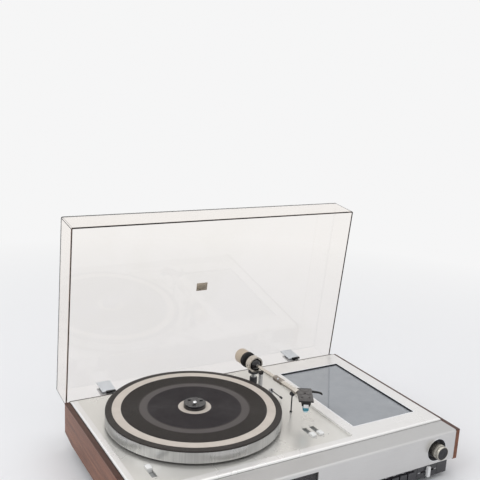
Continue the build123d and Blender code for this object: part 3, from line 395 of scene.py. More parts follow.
def make_wood_figure():
    """Wood that runs from front to back: broad figure, fine lines and dark pores."""
    group, given, result = new_group("wood_figure", [
        ("Light", COLOR, (0.2, 0.1, 0.06, 1)), ("Dark", COLOR, (0.08, 0.04, 0.03, 1)),
        ("Pore", COLOR, (0.03, 0.02, 0.015, 1))])
    place = part_place(group)
    bend = noise(group, stretched(group, place, (6.0, 5.0, 6.0)), 1.0, 2.0)["Color"]
    bent = stretched(group, bend, (0.012, 0.012, 0.012))
    moved = combine(group, "ADD", place, bent)[0]
    broad = noise(group, stretched(group, moved, (160.0, 7.0, 160.0)), 1.0, 4.0, 0.6)[0]
    fine = noise(group, stretched(group, moved, (900.0, 22.0, 900.0)), 1.0, 5.0, 0.7)[0]
    pores = noise(group, stretched(group, moved, (2600.0, 90.0, 2600.0)), 1.0, 2.0)[0]
    fine_share = spread(group, fine, 0.3, 0.7)
    share = blend_values(group, 0.4, spread(group, broad, 0.32, 0.68), fine_share)
    pore_share = spread(group, pores, 0.62, 0.7, 0.0, 0.65)
    figured = blend_colors(group, share, given["Light"], given["Dark"])
    join(group, result, {
        "Color": blend_colors(group, pore_share, figured, given["Pore"]),
        "Roughness": blend_values(group, pore_share, 0.38, 0.6),
        "Height": calculate(group, "SUBTRACT", fine_share, pore_share)})
    return group


def make_wiping():
    """Faint wipe marks on a clear sheet."""
    group, given, result = new_group("wiping", [
        ("Clean", FLOAT, 0.02), ("Marked", FLOAT, 0.08), ("Scale", FLOAT, 14.0),
        ("Light", COLOR, (1.0, 1.0, 1.0, 1)), ("Dark", COLOR, (0.9, 0.9, 0.9, 1))],
        gives=("Color", "Roughness"))
    marks = noise(group, part_place(group), given["Scale"], 5.0, 0.6, 0.8)[0]
    share = spread(group, marks, 0.45, 0.7)
    join(group, result, {
        "Color": blend_colors(group, share, given["Light"], given["Dark"]),
        "Roughness": blend_values(group, share, given["Clean"], given["Marked"])})
    return group


BRUSHING = make_brushing()
MOULDING = make_moulding()
WOOD_FIGURE = make_wood_figure()
WIPING = make_wiping()


def begin_finish(name):
    """A material with its shader, ready to be wired."""
    finish = bpy.data.materials.new(name)
    finish.use_nodes = True
    tree = finish.node_tree
    return finish, tree, tree.nodes["Principled BSDF"]


def use_group(tree, group, inputs):
    """Adds a group's node, with its inputs filled."""
    made = tree.nodes.new("ShaderNodeGroup")
    made.node_tree = group
    for name, value in inputs.items():
        made.inputs[name].default_value = value
    return made.outputs


def relief(tree, height, depth):
    """A normal from a height, with depth in metres."""
    bump = wire(tree, "ShaderNodeBump", {"Height": height, "Strength": 1.0, "Distance": depth})
    return bump.outputs["Normal"]


def linear(level):
    """A level from 0 to 255 on a screen, as the light that it stands for."""
    share = level / 255
    return share / 12.92 if share <= 0.04045 else ((share + 0.055) / 1.055) ** 2.4


def tone(red, green, blue):
    """A colour given as 0 to 255, as it looks on a screen."""
    return tuple(linear(level) for level in (red, green, blue)) + (1.0,)


def brushed(tree, light, dark, stretch, smooth, rough):
    """Brushed metal's colour, roughness and height."""
    return use_group(tree, BRUSHING, {"Stretch": stretch, "Light": tone(*light),
                                      "Dark": tone(*dark), "Smooth": smooth, "Rough": rough})


def moulded(tree, light, dark, grain, smooth, rough):
    """A moulded skin's colour, roughness and height."""
    return use_group(tree, MOULDING, {"Grain": grain, "Light": tone(*light),
                                      "Dark": tone(*dark), "Smooth": smooth, "Rough": rough})


# Finishes that are the same all over. Metals: light and dark tone, stretch of the lines, lowest and
# highest roughness, how metallic, depth of the lines in metres.
METALS = {
    "satin_aluminium": ((229, 227, 224), (216, 214, 211), (30, 2600, 2600), 0.28, 0.42, 0.55, 8e-6),
    # turned_aluminium's strong light and dark streaks running up and down are a painted reflection,
    # the sheen of the turning grooves.
    "turned_aluminium": ((216, 216, 215), (166, 167, 168), (300, 300, 8), 0.24, 0.36, 1.0, 15e-6),
    "chrome_plate": ((222, 223, 225), (206, 207, 210), (90, 90, 2200), 0.05, 0.12, 1.0, 3e-6),
    "tube_aluminium": ((230, 225, 217), (206, 200, 191), (900, 60, 900), 0.16, 0.26, 0.9, 6e-6),
    "hinge_steel": ((214, 215, 217), (196, 197, 200), (40, 1800, 1800), 0.28, 0.42, 0.7, 8e-6),
    "socket_brass": ((214, 190, 122), (186, 160, 96), (900, 60, 900), 0.18, 0.3, 1.0, 15e-6),
    "badge_metal": ((190, 181, 166), (168, 159, 146), (1800, 40, 40), 0.3, 0.42, 0.6, 10e-6),
    "knob_metal": ((196, 192, 182), (160, 156, 147), (700, 60, 700), 0.22, 0.32, 0.9, 6e-6),
    "gimbal_metal": ((206, 199, 190), (178, 171, 162), (900, 60, 900), 0.18, 0.28, 0.9, 6e-6),
    "plate_bright": ((214, 218, 222), (198, 202, 207), (40, 1800, 1800), 0.3, 0.42, 0.4, 8e-6),
    "weight_warm": ((206, 193, 176), (180, 166, 149), (900, 60, 900), 0.26, 0.38, 0.75, 6e-6),
    "sleeve_grey": ((168, 160, 152), (140, 133, 126), (900, 60, 900), 0.22, 0.34, 0.9, 6e-6),
}
# Moulded and printed ones: light and dark tone, grain, lowest and highest roughness, depth of the
# grain in metres, weight of the clear coat.
MOULDED = {
    "black_plastic": ((54, 54, 57), (38, 38, 41), 1600.0, 0.42, 0.6, 30e-6, 0.0),
    "black_gloss": ((50, 49, 54), (38, 37, 42), 500.0, 0.12, 0.24, 4e-6, 0.3),
    "black_matt": ((26, 25, 26), (18, 17, 18), 1500.0, 0.6, 0.75, 6e-6, 0.0),
    "adaptor_black": ((36, 35, 38), (26, 25, 28), 500.0, 0.1, 0.2, 3e-6, 0.2),
    "ball_black": ((26, 23, 25), (18, 16, 18), 300.0, 0.1, 0.18, 2e-6, 0.15),
    "pan_steel": ((60, 60, 63), (46, 46, 49), 700.0, 0.45, 0.6, 10e-6, 0.0),
    "inlay_beige": ((203, 194, 185), (190, 181, 171), 1100.0, 0.4, 0.55, 10e-6, 0.0),
    "head_grey": ((80, 76, 74), (62, 59, 58), 1500.0, 0.36, 0.5, 30e-6, 0.0),
    "channel_grey": ((158, 159, 158), (142, 143, 142), 1300.0, 0.4, 0.55, 4e-6, 0.0),
    "stylus_teal": ((66, 150, 168), (40, 112, 130), 900.0, 0.2, 0.35, 4e-6, 0.3),
    "guard_pale": ((196, 226, 236), (170, 208, 222), 900.0, 0.15, 0.3, 3e-6, 0.3),
    "pointer_orange": ((226, 104, 56), (206, 86, 44), 1300.0, 0.35, 0.5, 4e-6, 0.0),
    "slider_silver": ((232, 232, 232), (220, 220, 221), 1200.0, 0.22, 0.34, 3e-6, 0.3),
    "tab_white": ((236, 236, 234), (222, 222, 221), 1300.0, 0.25, 0.4, 4e-6, 0.2),
    "board_green": ((70, 128, 86), (48, 98, 64), 700.0, 0.35, 0.5, 6e-6, 0.0),
    "belt_rubber": ((48, 47, 47), (34, 33, 33), 1500.0, 0.5, 0.7, 30e-6, 0.0),
    "sub_platter_plastic": ((206, 204, 198), (188, 186, 180), 900.0, 0.35, 0.5, 30e-6, 0.0),
    "gap_shade_brown": ((78, 66, 60), (60, 50, 46), 1500.0, 0.55, 0.7, 4e-6, 0.0),
    "print_white": ((222, 222, 222), (200, 200, 201), 1600.0, 0.4, 0.55, 2e-6, 0.0),
    "dark_print_and_shade": ((120, 119, 118), (100, 99, 98), 1600.0, 0.4, 0.55, 2e-6, 0.0),
    "red_print": ((176, 60, 64), (150, 48, 52), 1500.0, 0.4, 0.5, 2e-6, 0.0),
}


def even_finish(name, skin_of, values, depth, metallic=0.0, coat=0.0):
    """A finish that is the same all over."""
    finish, tree, shader = begin_finish(name)
    skin = skin_of(tree, *values)
    join(tree, shader.inputs, {
        "Base Color": skin["Color"],
        "Roughness": skin["Roughness"],
        "Normal": relief(tree, skin["Height"], depth)})
    shader.inputs["Metallic"].default_value = metallic
    shader.inputs["Coat Weight"].default_value = coat
    return finish


def clear_finish(name, tint, clean, marked, refraction):
    """Tinted clear sheet with faint wipe marks."""
    finish, tree, shader = begin_finish(name)
    light = tone(*tint)
    dark = tuple(value * 0.985 for value in light[:3]) + (1.0,)
    marks = use_group(tree, WIPING, {"Clean": clean, "Marked": marked, "Scale": 11.0,
                                     "Light": light, "Dark": dark})
    join(tree, shader.inputs, {"Base Color": marks["Color"], "Roughness": marks["Roughness"]})
    shader.inputs["Transmission Weight"].default_value = 1.0
    shader.inputs["IOR"].default_value = refraction
    return finish


def lid_finish():
    """Clear warm acrylic, with painted shade darkening the sawn rim where light runs out of the
    sheet.
    """
    finish, tree, shader = begin_finish("lid_acrylic")
    marks = use_group(tree, WIPING, {"Clean": 0.0, "Marked": 0.03, "Scale": 7.0,
                                     "Light": tone(253, 250, 247), "Dark": tone(251, 248, 244)})
    from_hinge = combine(tree, "SUBTRACT", part_place(tree), tuple(HINGE * MM))[0]
    height = combine(tree, "DOT_PRODUCT", from_hinge, tuple(LID_UP))["Value"]
    rim_height = (LID_RIM - HINGE.z) * MM
    # Painted shade: the sawn rim is tinted dark brown, standing in for light that runs out along
    # the sheet.
    rim_painted_shade = spread(tree, height, rim_height + 0.0009, rim_height + 0.0003)
    join(tree, shader.inputs, {
        "Base Color": blend_colors(tree, rim_painted_shade, marks["Color"], tone(96, 66, 54)),
        "Roughness": blend_values(tree, rim_painted_shade, marks["Roughness"], 0.25)})
    shader.inputs["Transmission Weight"].default_value = 1.0
    shader.inputs["IOR"].default_value = 1.36
    return finish


def walnut_finish():
    """Oiled walnut, with painted shade darkening it along its top edge."""
    finish, tree, shader = begin_finish("walnut")
    wood = use_group(tree, WOOD_FIGURE, {"Light": tone(146, 98, 74), "Dark": tone(88, 54, 42),
                                         "Pore": tone(50, 32, 27)})
    # Painted shade: the top face and upper side of each cheek are darkened.
    shaded_top_edge = (-0.0275, -0.0257)
    top_painted_shade = spread(tree, part_height(tree), *shaded_top_edge, 0.0, 0.75)
    join(tree, shader.inputs, {
        "Base Color": blend_colors(tree, top_painted_shade, wood["Color"], tone(48, 34, 32)),
        "Roughness": wood["Roughness"],
        "Normal": relief(tree, wood["Height"], 0.00005)})
    shader.inputs["Specular IOR Level"].default_value = 0.22
    return finish


def mat_finish():
    """Dark ribbed rubber with a smoother, paler band half way out."""
    finish, tree, shader = begin_finish("mat_rubber")
    skin = moulded(tree, (59, 55, 52), (50, 46, 44), 1500.0, 0.5, 0.66)
    flat = stretched(tree, part_place(tree), (1.0, 1.0, 0.0))
    radius = wire(tree, "ShaderNodeVectorMath", {0: flat}, operation="LENGTH").outputs["Value"]
    band_inside, band_outside = (0.0785, 0.0815), (0.0950, 0.0915)
    band = calculate(tree, "MULTIPLY", spread(tree, radius, *band_inside),
                     spread(tree, radius, *band_outside))
    centre_edge = (0.0805, 0.0795)
    centre = spread(tree, radius, *centre_edge)
    rubber = blend_colors(tree, centre, skin["Color"], tone(51, 47, 49))
    join(tree, shader.inputs, {
        "Base Color": blend_colors(tree, band, rubber, tone(75, 70, 69)),
        "Roughness": blend_values(tree, band, skin["Roughness"], 0.38),
        "Normal": relief(tree, skin["Height"], 0.00002)})
    shader.inputs["Specular IOR Level"].default_value = 0.22
    return finish


def tray_finish():
    """Pale grey tray whose upright walls are black."""
    finish, tree, shader = begin_finish("tray_grey")
    skin = moulded(tree, (243, 244, 246), (233, 235, 238), 900.0, 0.5, 0.65)
    height = part_height(tree)
    wall_foot, wall_top = (-0.0266, -0.0264), (-0.02155, -0.0216)
    wall = calculate(tree, "MULTIPLY", spread(tree, height, *wall_foot),
                     spread(tree, height, *wall_top))
    join(tree, shader.inputs, {
        "Base Color": blend_colors(tree, wall, skin["Color"], tone(44, 44, 48)),
        "Roughness": skin["Roughness"],
        "Normal": relief(tree, skin["Height"], 0.00001)})
    return finish


SHEET_LINES = (30, 2600, 2600)


def deck_finish():
    """Brushed sheet whose raised border and right part are a little paler than the sunk field, with
    a painted highlight making its step walls and rounded edges paler and less metallic.
    """
    finish, tree, shader = begin_finish("deck_aluminium")
    lines = brushed(tree, (234, 232, 230), (222, 220, 218), SHEET_LINES, 0.24, 0.36)
    height = part_height(tree)
    field_edge, wall_foot, wall_top = (-0.0244, -0.0248), (-0.0248, -0.0246), (-0.0213, -0.0216)
    sunk = spread(tree, height, *field_edge)
    field = blend_colors(tree, lines["Roughness"], tone(221, 219, 214), tone(211, 209, 204))
    # Painted highlight: the step walls and rounded edges between field and border are made near
    # white and less metallic.
    wall = calculate(tree, "MULTIPLY", spread(tree, height, *wall_foot),
                     spread(tree, height, *wall_top))
    flat = blend_colors(tree, sunk, lines["Color"], field)
    join(tree, shader.inputs, {
        "Base Color": blend_colors(tree, wall, flat, tone(243, 242, 240)),
        "Roughness": lines["Roughness"],
        "Normal": relief(tree, lines["Height"], 0.000006),
        "Metallic": blend_values(tree, wall, 0.6, 0.2)})
    return finish


def fascia_finish():
    """Brushed sheet whose ledge has painted shade, a little darker than its front."""
    finish, tree, shader = begin_finish("fascia_aluminium")
    lines = brushed(tree, (214, 213, 212), (203, 202, 201), SHEET_LINES, 0.26, 0.38)
    # Painted shade: the ledge under the deck's rounded front edge is darkened.
    ledge_edge = (-0.0264, -0.0251)
    ledge_shade_mask = spread(tree, part_height(tree), *ledge_edge)
    ledge = blend_colors(tree, lines["Roughness"], tone(190, 189, 188), tone(180, 179, 178))
    join(tree, shader.inputs, {
        "Base Color": blend_colors(tree, ledge_shade_mask, lines["Color"], ledge),
        "Roughness": lines["Roughness"],
        "Normal": relief(tree, lines["Height"], 0.000008)})
    shader.inputs["Metallic"].default_value = 0.7
    return finish


def post_finish():
    """Bright post with a black cap."""
    finish, tree, shader = begin_finish("lift_post")
    lines = brushed(tree, (226, 226, 226), (200, 201, 203), (900, 900, 60), 0.2, 0.3)
    cap_edge = (0.0111, 0.0113)
    cap = spread(tree, part_height(tree), *cap_edge)
    join(tree, shader.inputs, {
        "Base Color": blend_colors(tree, cap, lines["Color"], tone(28, 28, 30)),
        "Roughness": blend_values(tree, cap, lines["Roughness"], 0.35),
        "Metallic": blend_values(tree, cap, 0.8, 0.0)})
    return finish


finishes = {
    "walnut": walnut_finish(),
    "lid_acrylic": lid_finish(),
    "mat_rubber": mat_finish(),
    "tray_grey": tray_finish(),
    "deck_aluminium": deck_finish(),
    "fascia_aluminium": fascia_finish(),
    "lift_post": post_finish(),
    "window_pane": clear_finish("window_pane", (241, 245, 249), 0.015, 0.05, refraction=1.52),
    "dial_pane": clear_finish("dial_pane", (150, 146, 152), 0.01, 0.04, refraction=1.49),
}
for name, (*values, metallic, depth) in METALS.items():
    finishes[name] = even_finish(name, brushed, values, depth, metallic=metallic)
for name, (*values, depth, coat) in MOULDED.items():
    finishes[name] = even_finish(name, moulded, values, depth, coat=coat)

# Nodes whose finish isn't their slot's own
NODE_FINISHES = {
    "speed_switch": "tab_white", "start_switch": "tab_white", "lift_switch": "tab_white",
    "lift_post": "lift_post", "switch_channels": "channel_grey", "lever_bracket": "hinge_steel",
    "deck_plate": "deck_aluminium", "fascia": "fascia_aluminium",
    "gimbal_ring": "gimbal_metal", "single_adaptor": "adaptor_black",
}
for subpart in frame["record"]["subparts"]:
    node = subpart["node"]
    for material_slot in frame["nodes"][node].material_slots:
        material_slot.material = finishes[NODE_FINISHES.get(node, subpart["material_slot"])]
for node in ("dust_cover", "window_glass", "dial_glass"):
    frame["nodes"][node].visible_shadow = False

# Platter mat, as (radius, height) round the spindle: outer edge, recess of the beige ring, grooves
# out to it, smooth band, finer grooves, recess of the beige disc
mat_profile = [(3.9, -2.5), (149.4, -2.5), (149.4, -0.6), (148.8, 0.0),
               (139.0, 0.0), (138.6, -0.3), (138.6, -1.0), (123.7, -1.0), (123.7, 0.0)]
mat_profile += grooves(122.6, 95.5, 2.4, [(0.0, 0.0), (0.2, -0.55), (0.9, -0.55), (1.1, 0.0)])
mat_profile += [(93.4, 0.0), (93.0, -0.35), (80.4, -0.35), (80.0, 0.0)]
mat_profile += grooves(78.4, 30.5, 1.8, [(0.0, 0.0), (0.15, -0.45), (0.75, -0.45), (0.9, 0.0)])
mat_profile += [(28.2, 0.0), (28.0, -0.2), (28.0, -1.0), (3.9, -1.0)]
make_turned("ribbed_mat", "platter", "mat_rubber", mat_profile, SPINDLE, UP,
            stands_for=["platter_mat"], around=180, closed=True)

# Tuning knob, from its stem forward
knob_profile = [(0.0, -22.0), (3.0, -22.0), (3.0, 0.0),
                (11.6, 0.0), (12.3, 0.7), (12.6, 1.4), (12.8, 1.8), (12.8, 13.6), (12.5, 14.0),
                (12.1, 14.3), (12.1, 14.9), (12.5, 15.2), (12.6, 15.5), (12.6, 19.2),
                (12.2, 20.1), (11.6, 20.7), (11.3, 20.7), (11.1, 20.4), (11.1, 19.6), (0.0, 19.6)]
make_turned("knob_grip", "tuning", "turned_aluminium", knob_profile, KNOB_CENTRE, TOWARDS_FRONT,
            "knob_metal", ["tuning_knob"], around=216, ribs=(54, 0.35, 1.7, 13.7))
face_profile = [(0.0, 19.5), (10.9, 19.5), (10.9, 19.9), (10.5, 20.2)]
face_profile += grooves(9.6, 1.4, 1.2, [(-0.5, 20.2), (-0.4, 20.0), (0.0, 20.0), (0.1, 20.2)])
face_profile += [(0.6, 20.2), (0.0, 20.2)]
make_turned("knob_face", "tuning", "black_plastic", face_profile, KNOB_CENTRE, TOWARDS_FRONT,
            around=96)
ring_profile = [(20.0, 5.3), (21.3, 5.3), (21.5, 5.6), (21.3, 5.95), (20.4, 5.95), (20.0, 5.7)]
make_turned("bezel_ring", "case", "chrome_plate", ring_profile, KNOB_CENTRE, TOWARDS_FRONT,
            around=120, closed=True)

# Counterweight and force dial, from the pivot back
weight_profile = [(3.4, 26.6), (11.05, 26.6), (11.05, 27.0), (13.7, 27.0), (14.3, 27.6),
                  (14.3, 31.6), (13.9, 31.9), (13.9, 32.7), (14.3, 33.0), (14.3, 46.6),
                  (14.0, 46.9), (13.9, 47.2), (12.9, 49.0), (9.5, 49.0), (9.2, 48.4),
                  (5.2, 48.4), (4.9, 49.0), (3.4, 49.0)]
make_turned("weight_body", "weight", "tube_aluminium", weight_profile, ARM_PIVOT, -ARM_FORWARD,
            "weight_warm", ["counterweight"], around=240, closed=True,
            ribs=(60, 0.18, 32.9, 46.7))
dial_profile = [(3.4, 17.5), (10.6, 17.5), (11.0, 17.9), (14.2, 18.4), (14.9, 19.0), (15.2, 19.6),
                (15.2, 24.6), (14.8, 25.0), (14.6, 26.0), (14.2, 26.5), (3.4, 26.5)]
make_turned("force_dial", "weight", "black_plastic", dial_profile, ARM_PIVOT, -ARM_FORWARD,
            "black_matt", ["weight_dial"], around=192, closed=True, ribs=(48, 0.35, 19.5, 24.7))

# The arm tube's lock sleeve, from the pivot forward, and its screw
sleeve_profile = [(3.35, 70.0), (4.6, 70.0), (5.1, 70.5), (5.4, 71.3), (5.4, 73.4), (5.05, 73.8),
                  (5.05, 74.6), (5.4, 75.0), (5.4, 90.4), (5.05, 90.8), (5.05, 91.6), (5.4, 92.0),
                  (5.4, 94.0), (4.9, 95.0), (4.6, 95.0), (4.6, 82.6), (3.35, 82.6)]
make_turned("sleeve_nut", "sleeve", "tube_aluminium", sleeve_profile, ARM_PIVOT, ARM_FORWARD,
            "sleeve_grey", ["lock_sleeve"], around=120, closed=True, ribs=(30, 0.12, 70.9, 73.5))
screw_profile = [(0.0, 4.2), (2.0, 4.2), (2.0, 6.4), (1.7, 6.9), (0.0, 7.1)]
make_turned("sleeve_screw", "sleeve", "chrome_plate", screw_profile, arm_place(85.0, 0.0, 0.0),
            UP - ARM_RIGHT, around=32)


# Headshell, cartridge and stylus, as (along, side) from the headshell's rear edge
def add_head_box(mesh, size, along, heights, rounding, side=0.0):
    """A box on the headshell: its (length, width), its middle and its (lowest, highest)."""
    add_slab(mesh, box_outline(*size, (along, side)), *heights, head_place, rounding)


PLATE_LENGTH = 51.5
PLATE_HALF = 13.0
PLATE_WIDTH = 2 * PLATE_HALF
PLATE_THICKNESS = 2.5
HOLE_ALONG, HOLE_RADIUS = 20.7, 2.4
SCREW_ALONG, SCREW_SIDE = 37.4, 6.35
PIN_START, PIN_END, PIN_HEIGHT, PIN_RADIUS = 36.6, 29.6, -9.6, 0.5
shape = bmesh.new()
plate_outline = mirrored([(0.0, 1.4 - PLATE_HALF), (1.4, -PLATE_HALF),
                          (PLATE_LENGTH - 1.8, -PLATE_HALF), (PLATE_LENGTH, 1.2 - PLATE_HALF)])
hole = round_outline(HOLE_RADIUS, (HOLE_ALONG, 0.0))
add_slab(shape, plate_outline, -PLATE_THICKNESS, 0.0, head_place, 0.35, holes=[hole])
for side in (1.0 - PLATE_HALF, PLATE_HALF - 1.0):
    add_head_box(shape, (21.0, 2.0), 12.5, (-5.0, -2.3), 0.4, side)
add_head_box(shape, (5.0, PLATE_WIDTH - 4.0), 3.0, (-4.6, -2.3), 0.5)
add_head_box(shape, (0.8, PLATE_WIDTH - 1.0), PLATE_LENGTH - 5.4, (-0.1, 0.2), 0.12)
make_piece("headshell_plate", shape, "arm", "head_grey", stands_for=["headshell"])

collar_profile = [(4.5, 130.0), (5.0, 130.0), (5.3, 130.5), (5.3, 134.0), (5.0, 134.3),
                  (5.0, 134.9), (5.3, 135.2), (5.3, 138.0), (4.6, 140.5), (0.0, 140.5),
                  (0.0, 139.9), (4.5, 139.9)]
make_turned("headshell_collar", "arm", "tube_aluminium", collar_profile, ARM_PIVOT, ARM_FORWARD,
            around=48, closed=True)

shape = bmesh.new()
blade = [(6.6, 0.0), (12.4, 0.0), (12.6, 6.0), (13.2, 11.0), (15.0, 14.2), (18.4, 16.8),
         (19.9, 17.7), (19.3, 18.9), (16.6, 18.3), (13.0, 16.4), (10.4, 12.6), (8.6, 7.0)]
blade_root = PLATE_HALF - 0.8
blade = [(along, blade_root + side) for along, side in blade]
add_slab(shape, blade, -2.9, -0.1, head_place, 0.35)
add_head_box(shape, (24.0, 16.0), 20.0, (-4.4, -3.2), 0.3)
for along in (1.3, 26.0):
    add_head_box(shape, (0.8, PLATE_WIDTH - 3.0), along, (-0.1, 0.12), 0.08)
add_head_box(shape, (1.2, PLATE_WIDTH - 0.6), PLATE_LENGTH - 0.2, (-2.6, -0.5), 0.3)
make_piece("finger_lift", shape, "arm", "black_plastic", "black_matt")

shape = bmesh.new()
screw_profile = [(0.0, -0.4), (1.7, -0.4), (1.9, -0.1), (1.9, 0.5), (1.5, 0.9), (0.9, 0.9),
                 (0.8, 0.5), (0.0, 0.5)]
for side in (-SCREW_SIDE, SCREW_SIDE):
    add_turned(shape, screw_profile, head_place(SCREW_ALONG, side, 0.0), around=32)
make_piece("cartridge_screws", shape, "arm", "head_grey")

shape = bmesh.new()
add_head_box(shape, (22.0, 16.4), 40.8, (-6.7, -PLATE_THICKNESS), 0.6)
add_head_box(shape, (15.6, 14.6), 43.4, (-10.4, -6.6), 0.8)
for side in (-3.6, -1.2, 1.2, 3.6):
    start, end = head_place(PIN_START, side, PIN_HEIGHT), head_place(PIN_END, side, PIN_HEIGHT)
    add_bar(shape, start, end, PIN_RADIUS, around=12)
make_piece("cartridge_mount", shape, "arm", "head_grey", "black_matt", ["cartridge"])

shape = bmesh.new()
add_head_box(shape, (17.2, 8.6), 44.2, (-12.9, -6.7), 0.6)
make_piece("cartridge_body", shape, "arm", "slider_silver")

shape = bmesh.new()
holder_outline = mirrored([(43.6, -5.2), (51.6, -5.2), (53.2, -3.8), (53.5, -1.5)])
add_slab(shape, holder_outline, -18.0, -12.7, head_place, 0.7)
make_piece("stylus_holder", shape, "arm", "stylus_teal", stands_for=["stylus"])

shape = bmesh.new()
guard_outline = [(47.6, -3.6), (52.0, -3.6), (53.2, -2.4), (53.4, 0.0), (53.2, 2.4), (52.0, 3.6),
                 (47.6, 3.6)]
add_slab(shape, guard_outline, -20.4, -17.8, head_place, 0.6)
make_piece("stylus_guard", shape, "arm", "stylus_teal", "guard_pale")


# The lower panel's print and gaps
def add_on_face(mesh, face, x, width, low, high, rounding=0.05, proud=0.12, sunk=0.1):
    """A thin block on an upright face that looks forward: its middle, width and heights."""
    add_block(mesh, (x - width / 2, face - proud, low), (x + width / 2, face + sunk, high),
              rounding)


KEYS_X = (303.9, 285.9, 267.9, 249.9)
TICK_PITCH = 4.4
shape = bmesh.new()
for x in (SLIDER_X - 18.4, SLIDER_X + 18.4):
    add_on_face(shape, PANEL_FRONT, x, 5.2, PANEL_MIDDLE - 0.45, PANEL_MIDDLE + 0.45)
for step in (-4, -3, -2, -1, 1, 2, 3, 4):
    x = SLIDER_X + step * TICK_PITCH
    add_on_face(shape, PANEL_FRONT, x, 0.6, PANEL_MIDDLE + 9.8, PANEL_MIDDLE + 11.2)
for x in KEYS_X:
    add_on_face(shape, PANEL_FRONT, x, 4.8, PANEL_MIDDLE + 9.1, PANEL_MIDDLE + 9.9)
make_piece("panel_print", shape, "case", "black_gloss", "print_white")
shape = bmesh.new()
add_on_face(shape, PANEL_FRONT, SLIDER_X - 30.5, 6.0, PANEL_MIDDLE - 0.9, PANEL_MIDDLE + 0.1)
make_piece("panel_mark", shape, "case", "black_gloss", "red_print")
shape = bmesh.new()
for x in (SLIDER_X - 23.0, SLIDER_X + 23.0, 240.5, 176.0, 111.0, 46.0, -19.0, -84.0):
    add_on_face(shape, PANEL_FRONT, x, 1.0, PANEL_MIDDLE - 11.6, PANEL_MIDDLE + 11.6,
                rounding=0.1, proud=0.25)
make_piece("panel_joints", shape, "case", "black_plastic")


# The dial scale's ticks and figures
FIGURE_SIZE = 5.2
FIGURE_THICKNESS = 0.06


def add_figures(mesh, words, x, y, z):
    """Sets plain figures on the dial scale."""
    curve = bpy.data.curves.new("figures", "FONT")
    curve.body, curve.size, curve.extrude = words, FIGURE_SIZE * MM, FIGURE_THICKNESS * MM
    curve.align_x = "CENTER"
    holder = show("figures", curve)
    bpy.context.view_layer.update()
    solid = holder.evaluated_get(bpy.context.evaluated_depsgraph_get())
    flat = bpy.data.meshes.new_from_object(solid)
    upright = Matrix.Rotation(math.radians(90), 4, "X")
    flat.transform(Matrix.Translation(Vector((x, y, z)) * MM) @ upright)
    mesh.from_mesh(flat)
    bpy.data.objects.remove(holder)
    bpy.data.curves.remove(curve)
    bpy.data.meshes.remove(flat)


# The scale's two rows: height, number of steps between ticks, figures over it
SCALE_LEFT, SCALE_WIDTH = -140.0, 240.0
LONG_TICK, SHORT_TICK, TICK_WIDTH = 3.2, 1.8, 0.44
SCALE_ROWS = ((-41.5, 40, "88 90 92 94 96 98 100 102 104 106 108"),
              (-59.5, 32, "52 56 60 70 80 100 120 140 160"))
scale_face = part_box("dial_scale")[0].y / MM
shape = bmesh.new()
for row, count, figures in SCALE_ROWS:
    for step in range(count + 1):
        x = SCALE_LEFT + SCALE_WIDTH * step / count
        tall = LONG_TICK if step % 4 == 0 else SHORT_TICK
        add_on_face(shape, scale_face, x, TICK_WIDTH, row - tall, row, rounding=0.03)
    add_on_face(shape, scale_face, SCALE_LEFT + SCALE_WIDTH / 2, SCALE_WIDTH, row, row + 0.4,
                rounding=0.03)
    figures = figures.split()
    for step, words in enumerate(figures):
        x = SCALE_LEFT + SCALE_WIDTH * step / (len(figures) - 1)
        add_figures(shape, words, x, scale_face - 0.07, row + 2.5)
make_piece("scale_print", shape, "case", "black_gloss", "print_white")


# Print on the deck's field, and painted shade along its edges
def add_on_field(mesh, left, right, front, rear, proud, rounding):
    """A thin block on the deck's field, between its sides."""
    add_block(mesh, (left, front, FIELD_TOP - 0.05), (right, rear, FIELD_TOP + proud), rounding)


shape = bmesh.new()
for x in (-128.6, 156.4, 172.0):
    for y in (-141.5, -99.5):
        add_on_field(shape, x - 2.0, x + 2.0, y - 0.25, y + 0.25, 0.06, 0.02)
dot_profile = [(0.0, -0.05), (0.9, -0.05), (0.9, 0.05), (0.0, 0.06)]
add_turned(shape, dot_profile, (184.0, -138.0, FIELD_TOP), around=24)
make_piece("deck_print", shape, "case", "satin_aluminium", "dark_print_and_shade")
# Thin dark strips along the field's left and front edges, at the foot of the raised border: painted
# shade.
shape = bmesh.new()
add_on_field(shape, FIELD_LEFT + 0.1, FIELD_LEFT + 0.7, FIELD_FRONT + 3.5, FIELD_REAR, 0.08, 0.03)
add_on_field(shape, FIELD_LEFT + 3.5, FIELD_RIGHT - 3.5, FIELD_FRONT + 0.1, FIELD_FRONT + 0.6,
             0.08, 0.03)
make_piece("field_edge", shape, "case", "satin_aluminium", "dark_print_and_shade")

# Dark strips of painted shade in the gaps along the cheeks and the deck's rear edge
shape = bmesh.new()
GAP_SHADE_WIDTH = 0.95
for left in (-171.9, 399.75):
    add_block(shape, (left, -181.0, -25.2), (left + GAP_SHADE_WIDTH, 148.0, -24.45), 0.15)
make_piece("cheek_gap_shade", shape, "case", "black_plastic", "black_matt")
shape = bmesh.new()
add_block(shape, (-170.6, 149.5, -25.1), (399.4, 150.5, -24.4), 0.15)
make_piece("rear_gap_shade", shape, "case", "black_plastic", "gap_shade_brown")

# The lid's badge, and the pads and bright plates on its clips
shape = bmesh.new()
BADGE_WIDTH, BADGE_DEPTH, BADGE_THICKNESS = 23.0, 16.0, 0.9
badge_outline = box_outline(BADGE_WIDTH, BADGE_DEPTH, (106.0, -25.0))
add_slab(shape, badge_outline, LID_TOP, LID_TOP + BADGE_THICKNESS, lid_place, 0.25)
make_piece("lid_badge", shape, "lid", "hinge_steel", "badge_metal")


def add_on_clips(mesh, size, right, back, heights, rounding):
    """A box at each clip, by how far right of it and behind the lid's rear its middle lies."""
    for clip_x in (-91.6, 320.4):
        outline = box_outline(*size, (clip_x + right, LID_REAR + back))
        add_slab(mesh, outline, *heights, lid_place, rounding)


